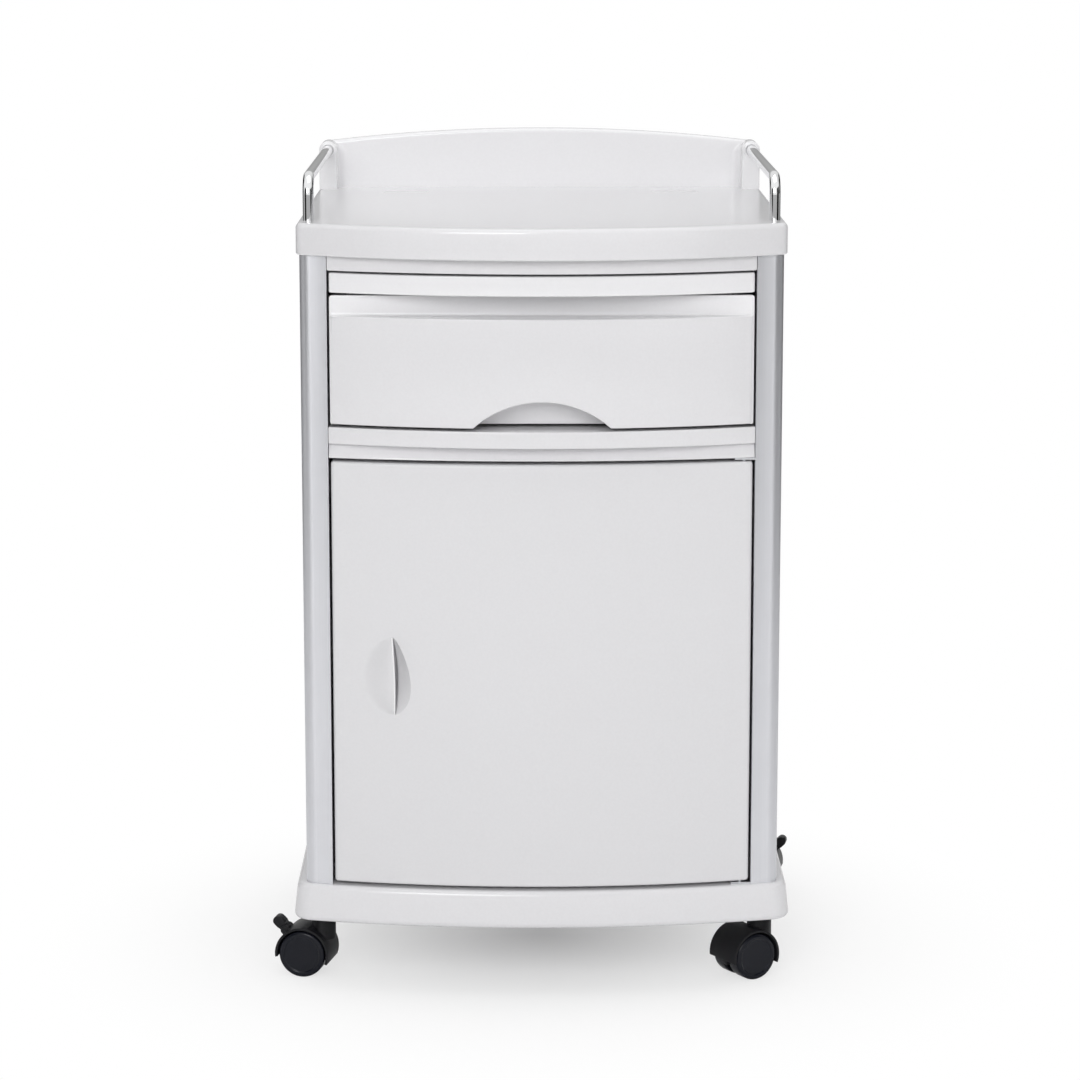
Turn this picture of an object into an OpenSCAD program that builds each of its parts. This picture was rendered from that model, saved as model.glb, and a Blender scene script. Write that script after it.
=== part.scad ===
// Bedside cabinet on four twin-wheel casters: a bowed plastic top and base joined by four
// aluminium corner columns, with a slide-out board, a drawer and a hinged door in front.
// The front faces -Y, and the origin is on the floor under the middle of the cabinet.

/* [Top tray] */
// Width of the top tray
tray_w = 480; // [460:5:500]
// Length of the tray's straight sides, from the back to the front corners
side_depth = 432; // [420:2:450]
// How far the tray's front bows out past its corners
tray_bow = 64; // [56:1:70]
// Height of the tray's skirt
tray_h = 31; // [28:1:36]
// Thickness of the tray's top plate
tray_plate = 5; // [4:0.5:7]
// Radius of the tray's rounded top edge
tray_round = 7; // [3:0.5:9]

/* [Fronts] */
// Bow of the slide-out board and of the strip above it
board_bow = 51; // [46:1:54]
// Bow of the drawer front and of the divider's lip
drawer_bow = 48; // [44:1:51]
// Bow of the door and of the divider's lower band
door_bow = 33; // [28:1:36]
// Wall of the moulded fronts
front_wall = 3.5; // [3:0.1:4]
// Gap between a front and its neighbours above and below
front_gap = 3.5; // [3:0.1:4.5]
// Gap between a front and the columns beside it
side_gap = 3; // [2.5:0.1:4]

/* [Heights] */
// Height of the base's underside above the floor
base_z = 72.5; // [70:0.5:80]
// Height of the base moulding
base_h = 37.5; // [34:0.5:44]
// Height of the door
door_h = 427; // [400:1:450]
// Height of the divider's recessed lower band
band_h = 14.5; // [12:0.5:18]
// Height of the divider's lip
lip_h = 16.5; // [14:0.5:20]
// Height of the drawer's flat plate
drawer_h = 126; // [112:1:140]
// Height of the finger groove along the drawer's top
groove_h = 19; // [15:0.5:24]
// Thickness of the slide-out board
board_t = 18.5; // [16:0.5:20]
// Height of the strip under the tray
strip_h = 14; // [11:0.5:18]

/* [Columns and panels] */
// Width of a column, seen from the front
column_w = 27; // [25:0.5:30]
// Depth of a front column
column_d = 39; // [36:1:44]
// Depth of a rear column
rear_column_d = 28; // [24:1:34]
// Wall of the columns
column_wall = 2; // [1.6:0.1:2.4]
// Thickness of the side and back panels
panel_t = 4; // [3:0.5:4.5]

/* [Back board and rails] */
// Height of the back board above the tray, in the middle
back_rise = 64; // [58:1:76]
// Drop of the back board's arched top from the middle to its ends
back_arch = 15; // [10:1:20]
// Thickness of the back board
back_t = 12; // [10:0.5:15]
// How far the end posts reach in front of the back board
post_reach = 28; // [22:1:34]
// Diameter of the guard rails
rail_d = 11; // [9:0.5:12]
// Height of the guard rails' centre line above the tray
rail_h = 42; // [38:1:46]
// Bend radius of the guard rails
rail_bend = 17; // [14:1:20]

/* [Door] */
// Height of the middle of the pull above the floor
pull_z = 327; // [280:1:400]
// Half the height of the pull
pull_half = 39; // [32:1:42]
// How far the pull stands out from the door
pull_rise = 11; // [9:0.5:12]
// Thickness of the door, from its rim to its back
door_t = 22; // [20:0.5:24]
// Radius of the door's pins
pin_r = 2; // [1.6:0.1:2.2]

/* [Drawer and board] */
// Half the width of the arched hand hold
arch_half = 67; // [55:1:75]
// Rise of the arched hand hold
arch_rise = 26; // [20:1:32]
// Wall of the drawer's box
box_wall = 3; // [2.5:0.1:3.5]
// Thickness of the drawer's flat plate
plate_t = 4; // [3.5:0.1:5]

/* [Shelf] */
// Height of the inner shelf above the floor of the cabinet
shelf_rise = 225; // [150:1:280]
// Thickness of the inner shelf
shelf_t = 12; // [10:1:16]

/* [Casters] */
// Diameter of the wheels
wheel_d = 48; // [46:0.5:50]
// Width of one wheel
wheel_w = 17; // [15:0.5:18]
// Distance from the swivel's axis to the wheels' axis
trail = 18; // [16:0.5:20]
// Radius of the casters' stems
stem_r = 5; // [4:0.5:6]
// Radius of the wheels' axles
axle_r = 3; // [2.5:0.1:3.5]

/* [Base] */
// Width of the base at its foot
base_w = 500; // [490:2:520]
// How much narrower each side of the base is at its top
base_draft = 4; // [2:0.5:6]
// How far the base's front bows out past its corners
base_bow = 30; // [24:1:36]
// How far the base's corners stand in front of the tray's
base_proud = 8; // [4:1:12]
// Wall of the base moulding
base_wall = 4; // [3:0.5:5]

/* [Hidden] */
$fn = 96;

// Segments of a bowed front, of a rounded corner and of a rounded rim
bow_steps = 24;
corner_steps = 4;
// Radial clearance of a running pin, gap between sliding faces, and how far a cut runs past a face
run = 0.05;
slip = 0.3;
past = 1;

// Depths, from the back of the cabinet to the corners of each front
back_y = (side_depth + tray_bow) / 2;
corner_y = back_y - side_depth;
board_y = corner_y + 5;
door_y = corner_y + 3;
base_y = corner_y - base_proud;

// Levels, from the floor up
base_top = base_z + base_h;
door_z = base_top + front_gap;
door_top = door_z + door_h;
band_z = door_top + front_gap;
lip_z = band_z + band_h;
lip_top = lip_z + lip_h;
drawer_z = lip_top + front_gap - 0.5;
drawer_top = drawer_z + drawer_h;
ledge_z = drawer_top - groove_h;
board_z = drawer_top + front_gap;
board_top = board_z + board_t;
strip_z = board_top + front_gap;
tray_z = strip_z + strip_h;
table_z = tray_z + tray_h;

// Columns: their side stands just inside the tray's, and the opening lies between them
column_out = tray_w / 2 - 3;
column_in = column_out - column_w;
column_round = 12;
front_half = column_in - side_gap;
column_front = bow_y(column_in, board_y, board_bow) + 2;
column_rear = column_front + column_d;
column_crease = column_out - column_round;
crease_y = bow_y(column_crease, board_y, board_bow) + 0.5;
rear_column_back = back_y - 2;
rear_column_front = rear_column_back - rear_column_d;
panel_x = column_out - column_wall - 0.2 - panel_t;
back_panel_y = rear_column_back - column_wall - panel_t;
panel_tuck = 5;

// Radius of a bow that falls back by its own height over half the tray's width
function bow_radius(bow) = (pow(tray_w / 2, 2) + bow * bow) / (2 * bow);
// Y of a bowed front at x
function bow_y(x, y, bow) = y - bow + bow_radius(bow) - sqrt(pow(bow_radius(bow), 2) - x * x);
// Points on an arc, its angles counted from -Y towards +X
function arc(cx, cy, r, a0, a1, n, first = 0, last = 0) =
    [for (i = [first : n - last]) let (a = a0 + (a1 - a0) * i / n) [cx + r * sin(a), cy - r * cos(a)]];
// Outline with a bowed front, rounded front corners and a straight back
function bow_plan(half, y, bow, y_back, corner_r, inset = 0) =
    let (
        centre = y - bow + bow_radius(bow),
        r = bow_radius(bow) - inset,
        c = max(corner_r - inset, 0.5),
        fx = half - inset - c,
        fy = centre - sqrt(pow(r - c, 2) - fx * fx),
        a = asin(fx / (r - c))
    )
    concat(
        arc(0, centre, r, -a, a, bow_steps),
        arc(fx, fy, c, a, 90, corner_steps, 1),
        [[half - inset, y_back], [inset - half, y_back]],
        arc(-fx, fy, c, -90, -a, corner_steps, 0, 1)
    );
// Plan with a true arc for its front, round front corners and a straight back
module bow_area(half, y, bow, y_back, corner_r) {
    r = bow_radius(bow);
    centre = y - bow + r;
    fx = half - corner_r;
    fy = centre - sqrt(pow(r - corner_r, 2) - fx * fx);
    edge_x = fx * r / (r - corner_r);
    edge_y = centre - sqrt(r * r - edge_x * edge_x);
    intersection() {
        translate([0, centre]) circle(r, $fn = 240);
        translate([-edge_x, y - bow - past]) square([2 * edge_x, y_back - y + bow + past]);
    }
    polygon([[-edge_x, edge_y], [edge_x, edge_y], [half, fy], [half, y_back], [-half, y_back], [-half, fy]]);
    for (side = [-1, 1]) translate([side * fx, fy]) circle(corner_r);
}

// Side view of a wall out to reach, with rounded lower and upper edges and a lean of draft
module rim_area(reach, z0, z1, r0, r1, draft) {
    lean = atan(draft / (z1 - z0));
    foot = [reach - r0, z0 + r0];
    head = [foot[0] + (r0 - r1 - (z1 - r1 - foot[1]) * sin(lean)) / cos(lean), z1 - r1];
    out = [cos(lean), sin(lean)];
    polygon([[0, z0], [foot[0], z0], foot + r0 * out, head + r1 * out, [head[0], z1], [0, z1]]);
    if (r0 > 0) translate(foot) circle(r0);
    if (r1 > 0) translate(head) circle(r1);
}

// Block with a bowed front, rounded lower and upper edges, and sides that lean in by draft
module bowed_block(half, y, bow, y_back, corner_r, z0, z1, r0, r1, draft = 0, back = false) {
    r = bow_radius(bow);
    low_y = y - bow - past;
    intersection() {
        translate([0, 0, z0]) linear_extrude(z1 - z0) bow_area(half, y, bow, y_back, corner_r);
        translate([0, y - bow + r, 0]) rotate_extrude($fn = 240) rim_area(r, z0, z1, r0, r1, draft);
        upright(low_y, y_back + past) {
            rim_area(half, z0, z1, r0, r1, draft);
            mirror([1, 0]) rim_area(half, z0, z1, r0, r1, draft);
        }
        if (back) translate([-half - past, 0, 0]) rotate([90, 0, 90]) linear_extrude(2 * (half + past)) {
            translate([low_y, z0]) square([y_back - 2 * r0 - low_y, z1 - z0]);
            rim_area(y_back, z0, z1, r0, r1, draft);
        }
    }
}

// Slab with a true arc for its front and square corners
module bow_slab(half, y, bow, y_back, z0, z1, inset = 0) {
    translate([0, 0, z0]) linear_extrude(z1 - z0) intersection() {
        translate([0, y - bow + bow_radius(bow)]) circle(bow_radius(bow) - inset, $fn = 240);
        translate([-half, y - bow - past]) square([2 * half, y_back - y + bow + past]);
    }
}

// Box between two corners
module box(low, high) {
    translate(low) cube(high - low);
}

// The same piece on both sides
module both_sides() {
    children();
    mirror([1, 0, 0]) children();
}

// A shape drawn in X and Z, made thick from y0 to y1
module upright(y0, y1) {
    translate([0, y1, 0]) rotate([90, 0, 0]) linear_extrude(y1 - y0) children();
}

// A rectangle with round corners between two corners
module rounded_area(low, high, r) {
    size = high - low;
    translate(low + [r, 0]) square(size - [2 * r, 0]);
    translate(low + [0, r]) square(size - [0, 2 * r]);
    for (x = [low[0] + r, high[0] - r], y = [low[1] + r, high[1] - r]) translate([x, y]) circle(r);
}

// ---- Base and casters' seats ----

base_round = 6;
base_rim = 5;
base_corner = 22;
base_plate = 4;
base_rib = 3;
rib_lift = 8;
caster_x = base_w / 2 - 27;
caster_front_y = base_y + 60;
caster_rear_y = back_y - 58;
caster_spots = [[-caster_x, caster_front_y], [caster_x, caster_front_y],
    [-caster_x, caster_rear_y], [caster_x, caster_rear_y]];
boss_r = stem_r + 6;
stem_seat = base_top - base_plate - 4;

module base_hollow() {
    low_inset = base_round + 3;
    high_inset = base_wall + base_draft;
    hollow_top = base_top - base_plate;
    step_z = base_z + base_round;
    translate([0, 0, base_z - past]) linear_extrude(step_z - base_z + past)
        polygon(bow_plan(base_w / 2, base_y, base_bow, back_y - low_inset, base_corner, low_inset));
    translate([0, 0, step_z - 0.01]) linear_extrude(hollow_top - step_z + 0.01)
        polygon(bow_plan(base_w / 2, base_y, base_bow, back_y - high_inset, base_corner, high_inset));
}

module base_ribs() {
    reach = base_w / 2;
    for (x = [-0.5, 0, 0.5] * caster_x)
        box([x - base_rib / 2, -reach, base_z + rib_lift], [x + base_rib / 2, reach, base_top]);
    for (y = [caster_front_y, 0, caster_rear_y])
        box([-reach, y - base_rib / 2, base_z + rib_lift], [reach, y + base_rib / 2, base_top]);
}

module base() {
    color("whitesmoke") difference() {
        bowed_block(base_w / 2, base_y, base_bow, back_y, base_corner, base_z, base_top,
            base_round, base_rim, base_draft, true);
        difference() {
            base_hollow();
            base_ribs();
            for (spot = caster_spots) translate([spot[0], spot[1], base_z]) cylinder(h = base_h, r = boss_r);
        }
        for (spot = caster_spots) translate([spot[0], spot[1], base_z - past])
            cylinder(h = stem_seat - base_z + past, r = stem_r);
    }
}

// Steel stems: pressed into the base's bosses, with a nut and a washer above each hood
hood_top = 62;
stem_foot = 45;
washer_t = 3;
washer_r = stem_r + 5;
nut_r = stem_r + 4;

module caster_stems() {
    washer_z = hood_top + slip;
    color("silver") for (spot = caster_spots) translate([spot[0], spot[1], 0]) {
        translate([0, 0, stem_foot]) cylinder(h = stem_seat - stem_foot, r = stem_r);
        translate([0, 0, washer_z]) cylinder(h = washer_t, r = washer_r);
        translate([0, 0, washer_z + washer_t]) cylinder(h = base_z - washer_z - washer_t, r = nut_r, $fn = 6);
    }
}

// ---- Columns and panels ----

module front_column_area(inset) {
    polygon(concat(
        [[column_in + inset, column_rear - inset], [column_in + inset, column_front + inset],
            [column_crease, crease_y + inset]],
        arc(column_crease, crease_y + column_round, column_round - inset, 0, 90, 12, 1),
        [[column_out - inset, column_rear - inset]]
    ));
}

module rear_column_area(inset) {
    polygon(concat(
        [[column_in + inset, rear_column_back - inset], [column_in + inset, rear_column_front + inset],
            [column_out - inset, rear_column_front + inset]],
        arc(column_crease, rear_column_back - column_round, column_round - inset, 90, 180, 12)
    ));
}

// Slots of the columns, each with a channel of its own wall around it
module slot_area(low, high, wall) {
    translate(low - [wall, wall]) square(high - low + 2 * [wall, wall]);
}

module side_slot(y, wall = 0) {
    slot_area([panel_x - 0.1, y - panel_tuck], [panel_x + panel_t + 0.1, y + panel_tuck], wall);
}

module back_slot(wall = 0) {
    slot_area([column_in - panel_tuck, back_panel_y - 0.1],
        [column_in + panel_tuck, back_panel_y + panel_t + 0.1], wall);
}

module front_column() {
    translate([0, 0, base_top]) linear_extrude(tray_z - base_top) difference() {
        front_column_area(0);
        difference() {
            front_column_area(column_wall);
            side_slot(column_rear, column_wall);
        }
        side_slot(column_rear);
    }
}

module rear_column() {
    translate([0, 0, base_top]) linear_extrude(tray_z - base_top) difference() {
        rear_column_area(0);
        difference() {
            rear_column_area(column_wall);
            side_slot(rear_column_front, column_wall);
            back_slot(column_wall);
        }
        side_slot(rear_column_front);
        back_slot();
    }
}

module front_column_right() { color("silver") front_column(); }
module front_column_left() { color("silver") mirror([1, 0, 0]) front_column(); }
module rear_column_right() { color("silver") rear_column(); }
module rear_column_left() { color("silver") mirror([1, 0, 0]) rear_column(); }

// Side panels tuck into slots of the columns and have a shallow field outside
field_margin = 36;
field_depth = 1;
field_round = 20;
peg_z = base_top + shelf_rise;
peg_r = 3;
peg_drop = 7;
peg_spots = [column_rear + 60, rear_column_front - 30];

module side_panel() {
    low_y = column_rear - panel_tuck + 0.2;
    high_y = rear_column_front + panel_tuck - 0.2;
    difference() {
        box([panel_x, low_y, base_top], [panel_x + panel_t, high_y, tray_z]);
        translate([panel_x + panel_t - field_depth, 0, 0])
            rotate([90, 0, 90]) linear_extrude(past + field_depth)
            rounded_area([low_y + field_margin, base_top + field_margin],
                [high_y - field_margin, tray_z - field_margin], field_round);
        for (y = peg_spots) translate([panel_x - past, y, peg_z - peg_drop])
            rotate([0, 90, 0]) cylinder(h = panel_t + 2 * past, r = peg_r);
    }
}

module side_panel_right() { color("gainsboro") side_panel(); }
module side_panel_left() { color("gainsboro") mirror([1, 0, 0]) side_panel(); }

module back_panel() {
    half = column_in + panel_tuck - 0.2;
    color("gainsboro") difference() {
        box([-half, back_panel_y, base_top], [half, back_panel_y + panel_t, tray_z]);
        upright(back_panel_y + panel_t - field_depth, back_panel_y + panel_t + past)
            rounded_area([field_margin - column_in, base_top + field_margin],
                [column_in - field_margin, tray_z - field_margin], field_round);
    }
}

// ---- Top tray, back board and rails ----

tray_corner = 13;
tray_foot = 2;
tray_band = 34;
rail_x = column_out - 8.5;
rail_y = corner_y + 27;
rail_z = table_z + rail_h;
rail_r = rail_d / 2;
rail_wall = 1.2;
rail_seat = 14;
post_half = 9.5;
post_front = back_y - back_t - post_reach;
board_round = 5;

// Hollow underside of the tray, with two ribs left in it
module tray_hollow() {
    difference() {
        translate([0, 0, tray_z - past]) linear_extrude(tray_h - tray_plate + past)
            polygon(bow_plan(tray_w / 2, corner_y, tray_bow, rear_column_front - 8, tray_corner, tray_band));
        for (x = [-1, 1] * tray_w / 7)
            box([x - base_rib / 2, -tray_w, tray_z], [x + base_rib / 2, tray_w, table_z]);
    }
}

// Rebate in the tray's top that the foot of the back board and its posts stands in
board_sink = 1;
seat_gap = 0.1;

module board_seat(z) {
    box([-tray_w, back_y - back_t - seat_gap, z], [tray_w, back_y + past, table_z + past]);
    both_sides() {
        box([rail_x - post_half - seat_gap, post_front - seat_gap, z], [tray_w, back_y, table_z + past]);
        difference() {
            box([rail_x - post_half - post_fillet, back_y - back_t - post_fillet, z],
                [rail_x - post_half, back_y - back_t, table_z + past]);
            translate([rail_x - post_half - post_fillet, back_y - back_t - post_fillet, z - past])
                cylinder(h = board_sink + 3 * past, r = post_fillet - seat_gap);
        }
    }
}

// Two shallow ribs near the back board that stop things sliding against it
stop_half = 22.5;
stop_r = 2.5;
stop_x = 144;
stop_y = back_y - 75;
stop_rise = 0.8;

module tray_stop(x) {
    translate([x, stop_y, table_z - past]) linear_extrude(stop_rise + past) {
        square([2 * stop_half, 2 * stop_r], center = true);
        for (end = [-1, 1] * stop_half) translate([end, 0]) circle(stop_r);
    }
}

module top_tray() {
    color("whitesmoke") difference() {
        union() {
            bowed_block(tray_w / 2, corner_y, tray_bow, back_y, tray_corner, tray_z, table_z,
                tray_foot, tray_round, 0, true);
            both_sides() box([rail_x - post_half, post_front, table_z - tray_round],
                [rail_x + post_half, back_y, table_z]);
            for (x = [-1, 1] * stop_x) tray_stop(x);
        }
        tray_hollow();
        both_sides() translate([rail_x, rail_y, table_z - rail_seat])
            cylinder(h = rail_seat + past, r = rail_r);
        board_seat(table_z - board_sink);
    }
}

// Back board: an arched wall with a post at each end that holds a rail
post_fillet = 10;

module back_board() {
    end_z = table_z + back_rise - back_arch;
    foot_z = table_z - board_sink;
    color("whitesmoke") difference() {
        union() {
            rotate([-90, 0, 0]) bowed_block(rail_x + post_half, -end_z, back_arch, -foot_z,
                2 * board_round, back_y - back_t, back_y, board_round, board_round);
            both_sides() upright(post_front, back_y - board_round) {
                translate([rail_x - post_half, foot_z]) square([2 * post_half, rail_z - foot_z]);
                translate([rail_x, rail_z]) circle(post_half);
            }
            both_sides() difference() {
                box([rail_x - post_half - post_fillet, back_y - back_t - post_fillet, foot_z],
                    [rail_x - post_half, back_y - back_t + past, rail_z]);
                translate([rail_x - post_half - post_fillet, back_y - back_t - post_fillet, foot_z - past])
                    cylinder(h = rail_z - foot_z + 2 * past, r = post_fillet);
            }
        }
        both_sides() upright(post_front - past, post_front + rail_seat)
            translate([rail_x, rail_z]) circle(rail_r);
    }
}

// Guard rail: up from the tray, round a bend and straight back into the post
module rail_solid(r) {
    translate([rail_x, rail_y, table_z - rail_seat]) cylinder(h = rail_seat + rail_h - rail_bend, r = r);
    translate([rail_x, rail_y + rail_bend, rail_z - rail_bend]) rotate([90, 0, -90])
        rotate_extrude(angle = 90) translate([rail_bend, 0]) circle(r, $fn = 48);
    upright(rail_y + rail_bend, post_front + rail_seat) translate([rail_x, rail_z]) circle(r);
}

module guard_rail() {
    difference() {
        rail_solid(rail_r);
        rail_solid(rail_r - rail_wall);
    }
}

module guard_rail_right() { color("lightgray") guard_rail(); }
module guard_rail_left() { color("lightgray") mirror([1, 0, 0]) guard_rail(); }

// ---- Front strips and partition ----

strip_depth = 15;
divider_reach = 10;
divider_lug = 14;
strip_rear = column_rear - strip_depth;
divider_rear = column_rear + divider_reach;
flange_t = 4;

module top_strip() {
    color("whitesmoke") difference() {
        bow_slab(column_in, board_y, board_bow, strip_rear, strip_z, tray_z);
        bow_slab(column_in - front_wall, board_y, board_bow, strip_rear + past,
            strip_z + front_wall, tray_z + past, front_wall);
    }
}

module divider_rail() {
    color("whitesmoke") difference() {
        union() {
            bow_slab(column_in, board_y, drawer_bow, divider_rear, lip_z, lip_top);
            bow_slab(column_in, door_y, door_bow, divider_rear, band_z, lip_z + past);
        }
        bow_slab(column_in - flange_t, door_y, door_bow, divider_rear + past, band_z + flange_t,
            lip_top - flange_t, flange_t);
    }
}

// Plate between the drawer and the cupboard, with a turned-down edge at each side
module partition() {
    low = lip_top - flange_t;
    color("gainsboro") {
        box([-panel_x, divider_rear, low], [panel_x, rear_column_front, lip_top]);
        box([-column_in, rear_column_front - past, low], [column_in, back_panel_y, lip_top]);
        both_sides() box([panel_x - flange_t, divider_rear, low - divider_lug],
            [panel_x, rear_column_front, low + past]);
    }
}

// ---- Guides and slides ----

guide_front = column_rear;
guide_in = front_half - 8;
guide_lip = 2.5;

// Channels that carry the slide-out board by its edges
module board_guides() {
    low = board_z - slip - guide_lip;
    high = board_top + slip + guide_lip;
    color("gainsboro") both_sides() difference() {
        box([guide_in, guide_front, low], [panel_x, rear_column_front, high]);
        box([guide_in - past, guide_front - past, board_z - slip],
            [front_half + 1, rear_column_front - 4, board_top + slip]);
    }
}

slide_h = 34;
slide_z = drawer_z + 30;
slide_sheet = 1.5;
slide_rear = rear_column_front - 3;
block_l = 30;
box_half = column_in - 12.5;

module slide_blocks() {
    color("gainsboro") both_sides() for (y = [guide_front, slide_rear - block_l])
        box([column_in, y, slide_z - 4], [panel_x, y + block_l, slide_z + slide_h + 4]);
}

// Cabinet members of the drawer slides, open towards the drawer
module drawer_slides() {
    color("silver") both_sides() difference() {
        box([box_half + 1.2, guide_front, slide_z], [column_in, slide_rear, slide_z + slide_h]);
        box([box_half - past, guide_front - past, slide_z + slide_sheet],
            [column_in - slide_sheet, slide_rear - slide_sheet, slide_z + slide_h - slide_sheet]);
    }
}

// Shelf with a hollow, ribbed underside
shelf_gap = 1;
shelf_wall = 3;
shelf_front = column_rear + 30;

module inner_shelf() {
    half = panel_x - shelf_gap;
    inner_half = column_in - shelf_gap;
    rear = rear_column_front - shelf_gap;
    color("gainsboro") difference() {
        union() {
            box([-half, shelf_front, peg_z], [half, rear, peg_z + shelf_t]);
            box([-inner_half, rear - past, peg_z], [inner_half, back_panel_y - shelf_gap, peg_z + shelf_t]);
        }
        for (side = [-1, 1]) difference() {
            box([side > 0 ? shelf_wall : -half + 16, shelf_front + shelf_wall, peg_z - past],
                [side > 0 ? half - 16 : -shelf_wall, rear - shelf_wall, peg_z + shelf_t - shelf_wall]);
            for (i = [1 : 3]) {
                y = shelf_front + i * (rear - shelf_front) / 4;
                box([-half, y - shelf_wall / 2, peg_z], [half, y + shelf_wall / 2, peg_z + shelf_t]);
            }
        }
    }
}

// Pegs pushed into the side panels, with a flat saddle under the shelf
module shelf_pegs() {
    color("silver") both_sides() for (y = peg_spots) {
        box([panel_x - 12, y - 6, peg_z - 2 * peg_drop], [panel_x, y + 6, peg_z]);
        translate([panel_x - past, y, peg_z - peg_drop]) rotate([0, 90, 0])
            cylinder(h = panel_t + past - field_depth, r = peg_r);
    }
}

// ---- Door furniture fixed to the cabinet ----

front_y = bow_y(front_half, door_y, door_bow);
door_rear = front_y + door_t;
hinge_x = front_half - 8;
hinge_y = bow_y(hinge_x, door_y, door_bow) + 4.5;
plate_gap = 1.5;
hinge_t = front_gap - plate_gap;
catch_w = 40;
catch_h = 20;
catch_x = -column_in + 20;
strike_t = 1;

// Catch: a plastic case under the divider with two steel tongues beside the magnet
module magnet_catch() {
    low_y = door_rear + slip;
    color("dimgray") difference() {
        box([catch_x, low_y, band_z - catch_h], [catch_x + catch_w, divider_rear, band_z]);
        box([catch_x + 4, low_y - past, band_z - catch_h + 3], [catch_x + catch_w - 4, low_y + 1, band_z - 4]);
    }
    color("silver") for (z = [band_z - 17, band_z - 12])
        box([catch_x + 6, low_y, z], [catch_x + catch_w - 6, low_y + 6, z + 1.5]);
}

// Steel plates over and under the door's pins
plate_left = 9;
plate_ahead = 3.4;
plate_behind = 12;

module hinge_plate(z) {
    difference() {
        box([hinge_x - plate_left, hinge_y - plate_ahead, z], [column_in, hinge_y + plate_behind, z + hinge_t]);
        translate([hinge_x, hinge_y, z - past]) cylinder(h = hinge_t + 2 * past, r = pin_r + run);
    }
}

module hinge_plates() {
    color("silver") {
        hinge_plate(base_top);
        hinge_plate(band_z - hinge_t);
    }
}

// ---- Slide-out board ----

board_rear = rear_column_front - 5;
board_edge = 3;
front_corner = 4;
pocket_depth = 11;
pocket_rim = 16;
pocket_rib = 4;

// Board with a bowed, rounded front and a ribbed hollow underside
module slide_out_board() {
    columns = 4;
    rows = 4;
    low = [-front_half + pocket_rim, board_y];
    high = [front_half - pocket_rim, board_rear - pocket_rim];
    step = [(high[0] - low[0]) / columns, (high[1] - low[1]) / rows];
    color("whitesmoke") difference() {
        bowed_block(front_half, board_y, board_bow, board_rear, front_corner, board_z, board_top,
            board_edge, board_edge);
        for (i = [0 : columns - 1], j = [0 : rows - 1])
            box([low[0] + i * step[0] + pocket_rib / 2, low[1] + j * step[1] + pocket_rib / 2, board_z - past],
                [low[0] + (i + 1) * step[0] - pocket_rib / 2, low[1] + (j + 1) * step[1] - pocket_rib / 2,
                    board_z + pocket_depth]);
    }
}

// ---- Drawer ----

plate_y = bow_y(front_half, board_y, drawer_bow);
arch_r = (arch_half * arch_half + arch_rise * arch_rise) / (2 * arch_rise);
arch_wall = 2.5;
box_z = drawer_z + 5;
box_h = 104;
box_front = plate_y + plate_t;
box_rear = slide_rear - 6;
box_round = 8;
screw_r = 2;
screw_head_r = 4;
screw_spots = [[-0.6 * box_half, box_z + 20], [0.6 * box_half, box_z + 20],
    [-0.6 * box_half, box_z + box_h - 18], [0.6 * box_half, box_z + box_h - 18]];

// Upright prism through the arched hand hold, grown by a wall
module arch_prism(wall) {
    upright(-depth_reach, plate_y + past)
        translate([0, drawer_z + arch_rise - arch_r]) circle(arch_r + wall, $fn = 180);
}
depth_reach = side_depth;

module screw_holes(y0, y1) {
    upright(y0, y1) for (spot = screw_spots) translate(spot) circle(screw_r, $fn = 32);
}

// Flat plate behind the bowed skin: it shows as the finger groove and as the back of the hand hold
module drawer_plate() {
    color("whitesmoke") difference() {
        upright(plate_y, plate_y + plate_t)
            rounded_area([-front_half, drawer_z], [front_half, drawer_top], 3);
        screw_holes(plate_y + 1.5, plate_y + plate_t + past);
    }
}

// Bowed hollow skin with the ledge of the finger groove on top and the hand hold cut into it
module drawer_front() {
    half = front_half - 1;
    color("whitesmoke") difference() {
        union() {
            difference() {
                bow_slab(half, board_y, drawer_bow, plate_y, drawer_z, ledge_z);
                bow_slab(half - front_wall, board_y, drawer_bow, plate_y + past,
                    drawer_z + front_wall, ledge_z - front_wall, front_wall);
            }
            intersection() {
                bow_slab(half, board_y, drawer_bow, plate_y, drawer_z, ledge_z);
                arch_prism(arch_wall);
            }
        }
        arch_prism(0);
    }
}

module drawer_box() {
    color("gainsboro") difference() {
        translate([0, 0, box_z]) linear_extrude(box_h)
            rounded_area([-box_half, box_front], [box_half, box_rear], box_round);
        translate([0, 0, box_z + box_wall]) linear_extrude(box_h)
            rounded_area([box_wall - box_half, box_front + box_wall],
                [box_half - box_wall, box_rear - box_wall], box_round - box_wall);
        screw_holes(box_front - past, box_front + box_wall + past);
    }
}

// Drawer members of the slides, screwed to the sides of the box
module drawer_runners() {
    low_z = slide_z + slide_sheet + slip;
    high_z = slide_z + slide_h - slide_sheet - slip;
    out = column_in - slide_sheet - slip;
    low_y = box_front + box_round + 2;
    high_y = box_rear - box_round;
    color("silver") both_sides() difference() {
        box([box_half, low_y, low_z], [out, high_y, high_z]);
        box([box_half + slide_sheet, low_y - past, low_z + slide_sheet],
            [out + past, high_y + past, high_z - slide_sheet]);
    }
}

module drawer_screws() {
    inside = box_front + box_wall;
    color("silver") {
        upright(plate_y + 1.5, inside + 0.5) for (spot = screw_spots) translate(spot) circle(screw_r, $fn = 32);
        upright(inside, inside + 2.2) for (spot = screw_spots) translate(spot) circle(screw_head_r, $fn = 48);
    }
}

// ---- Door ----

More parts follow.
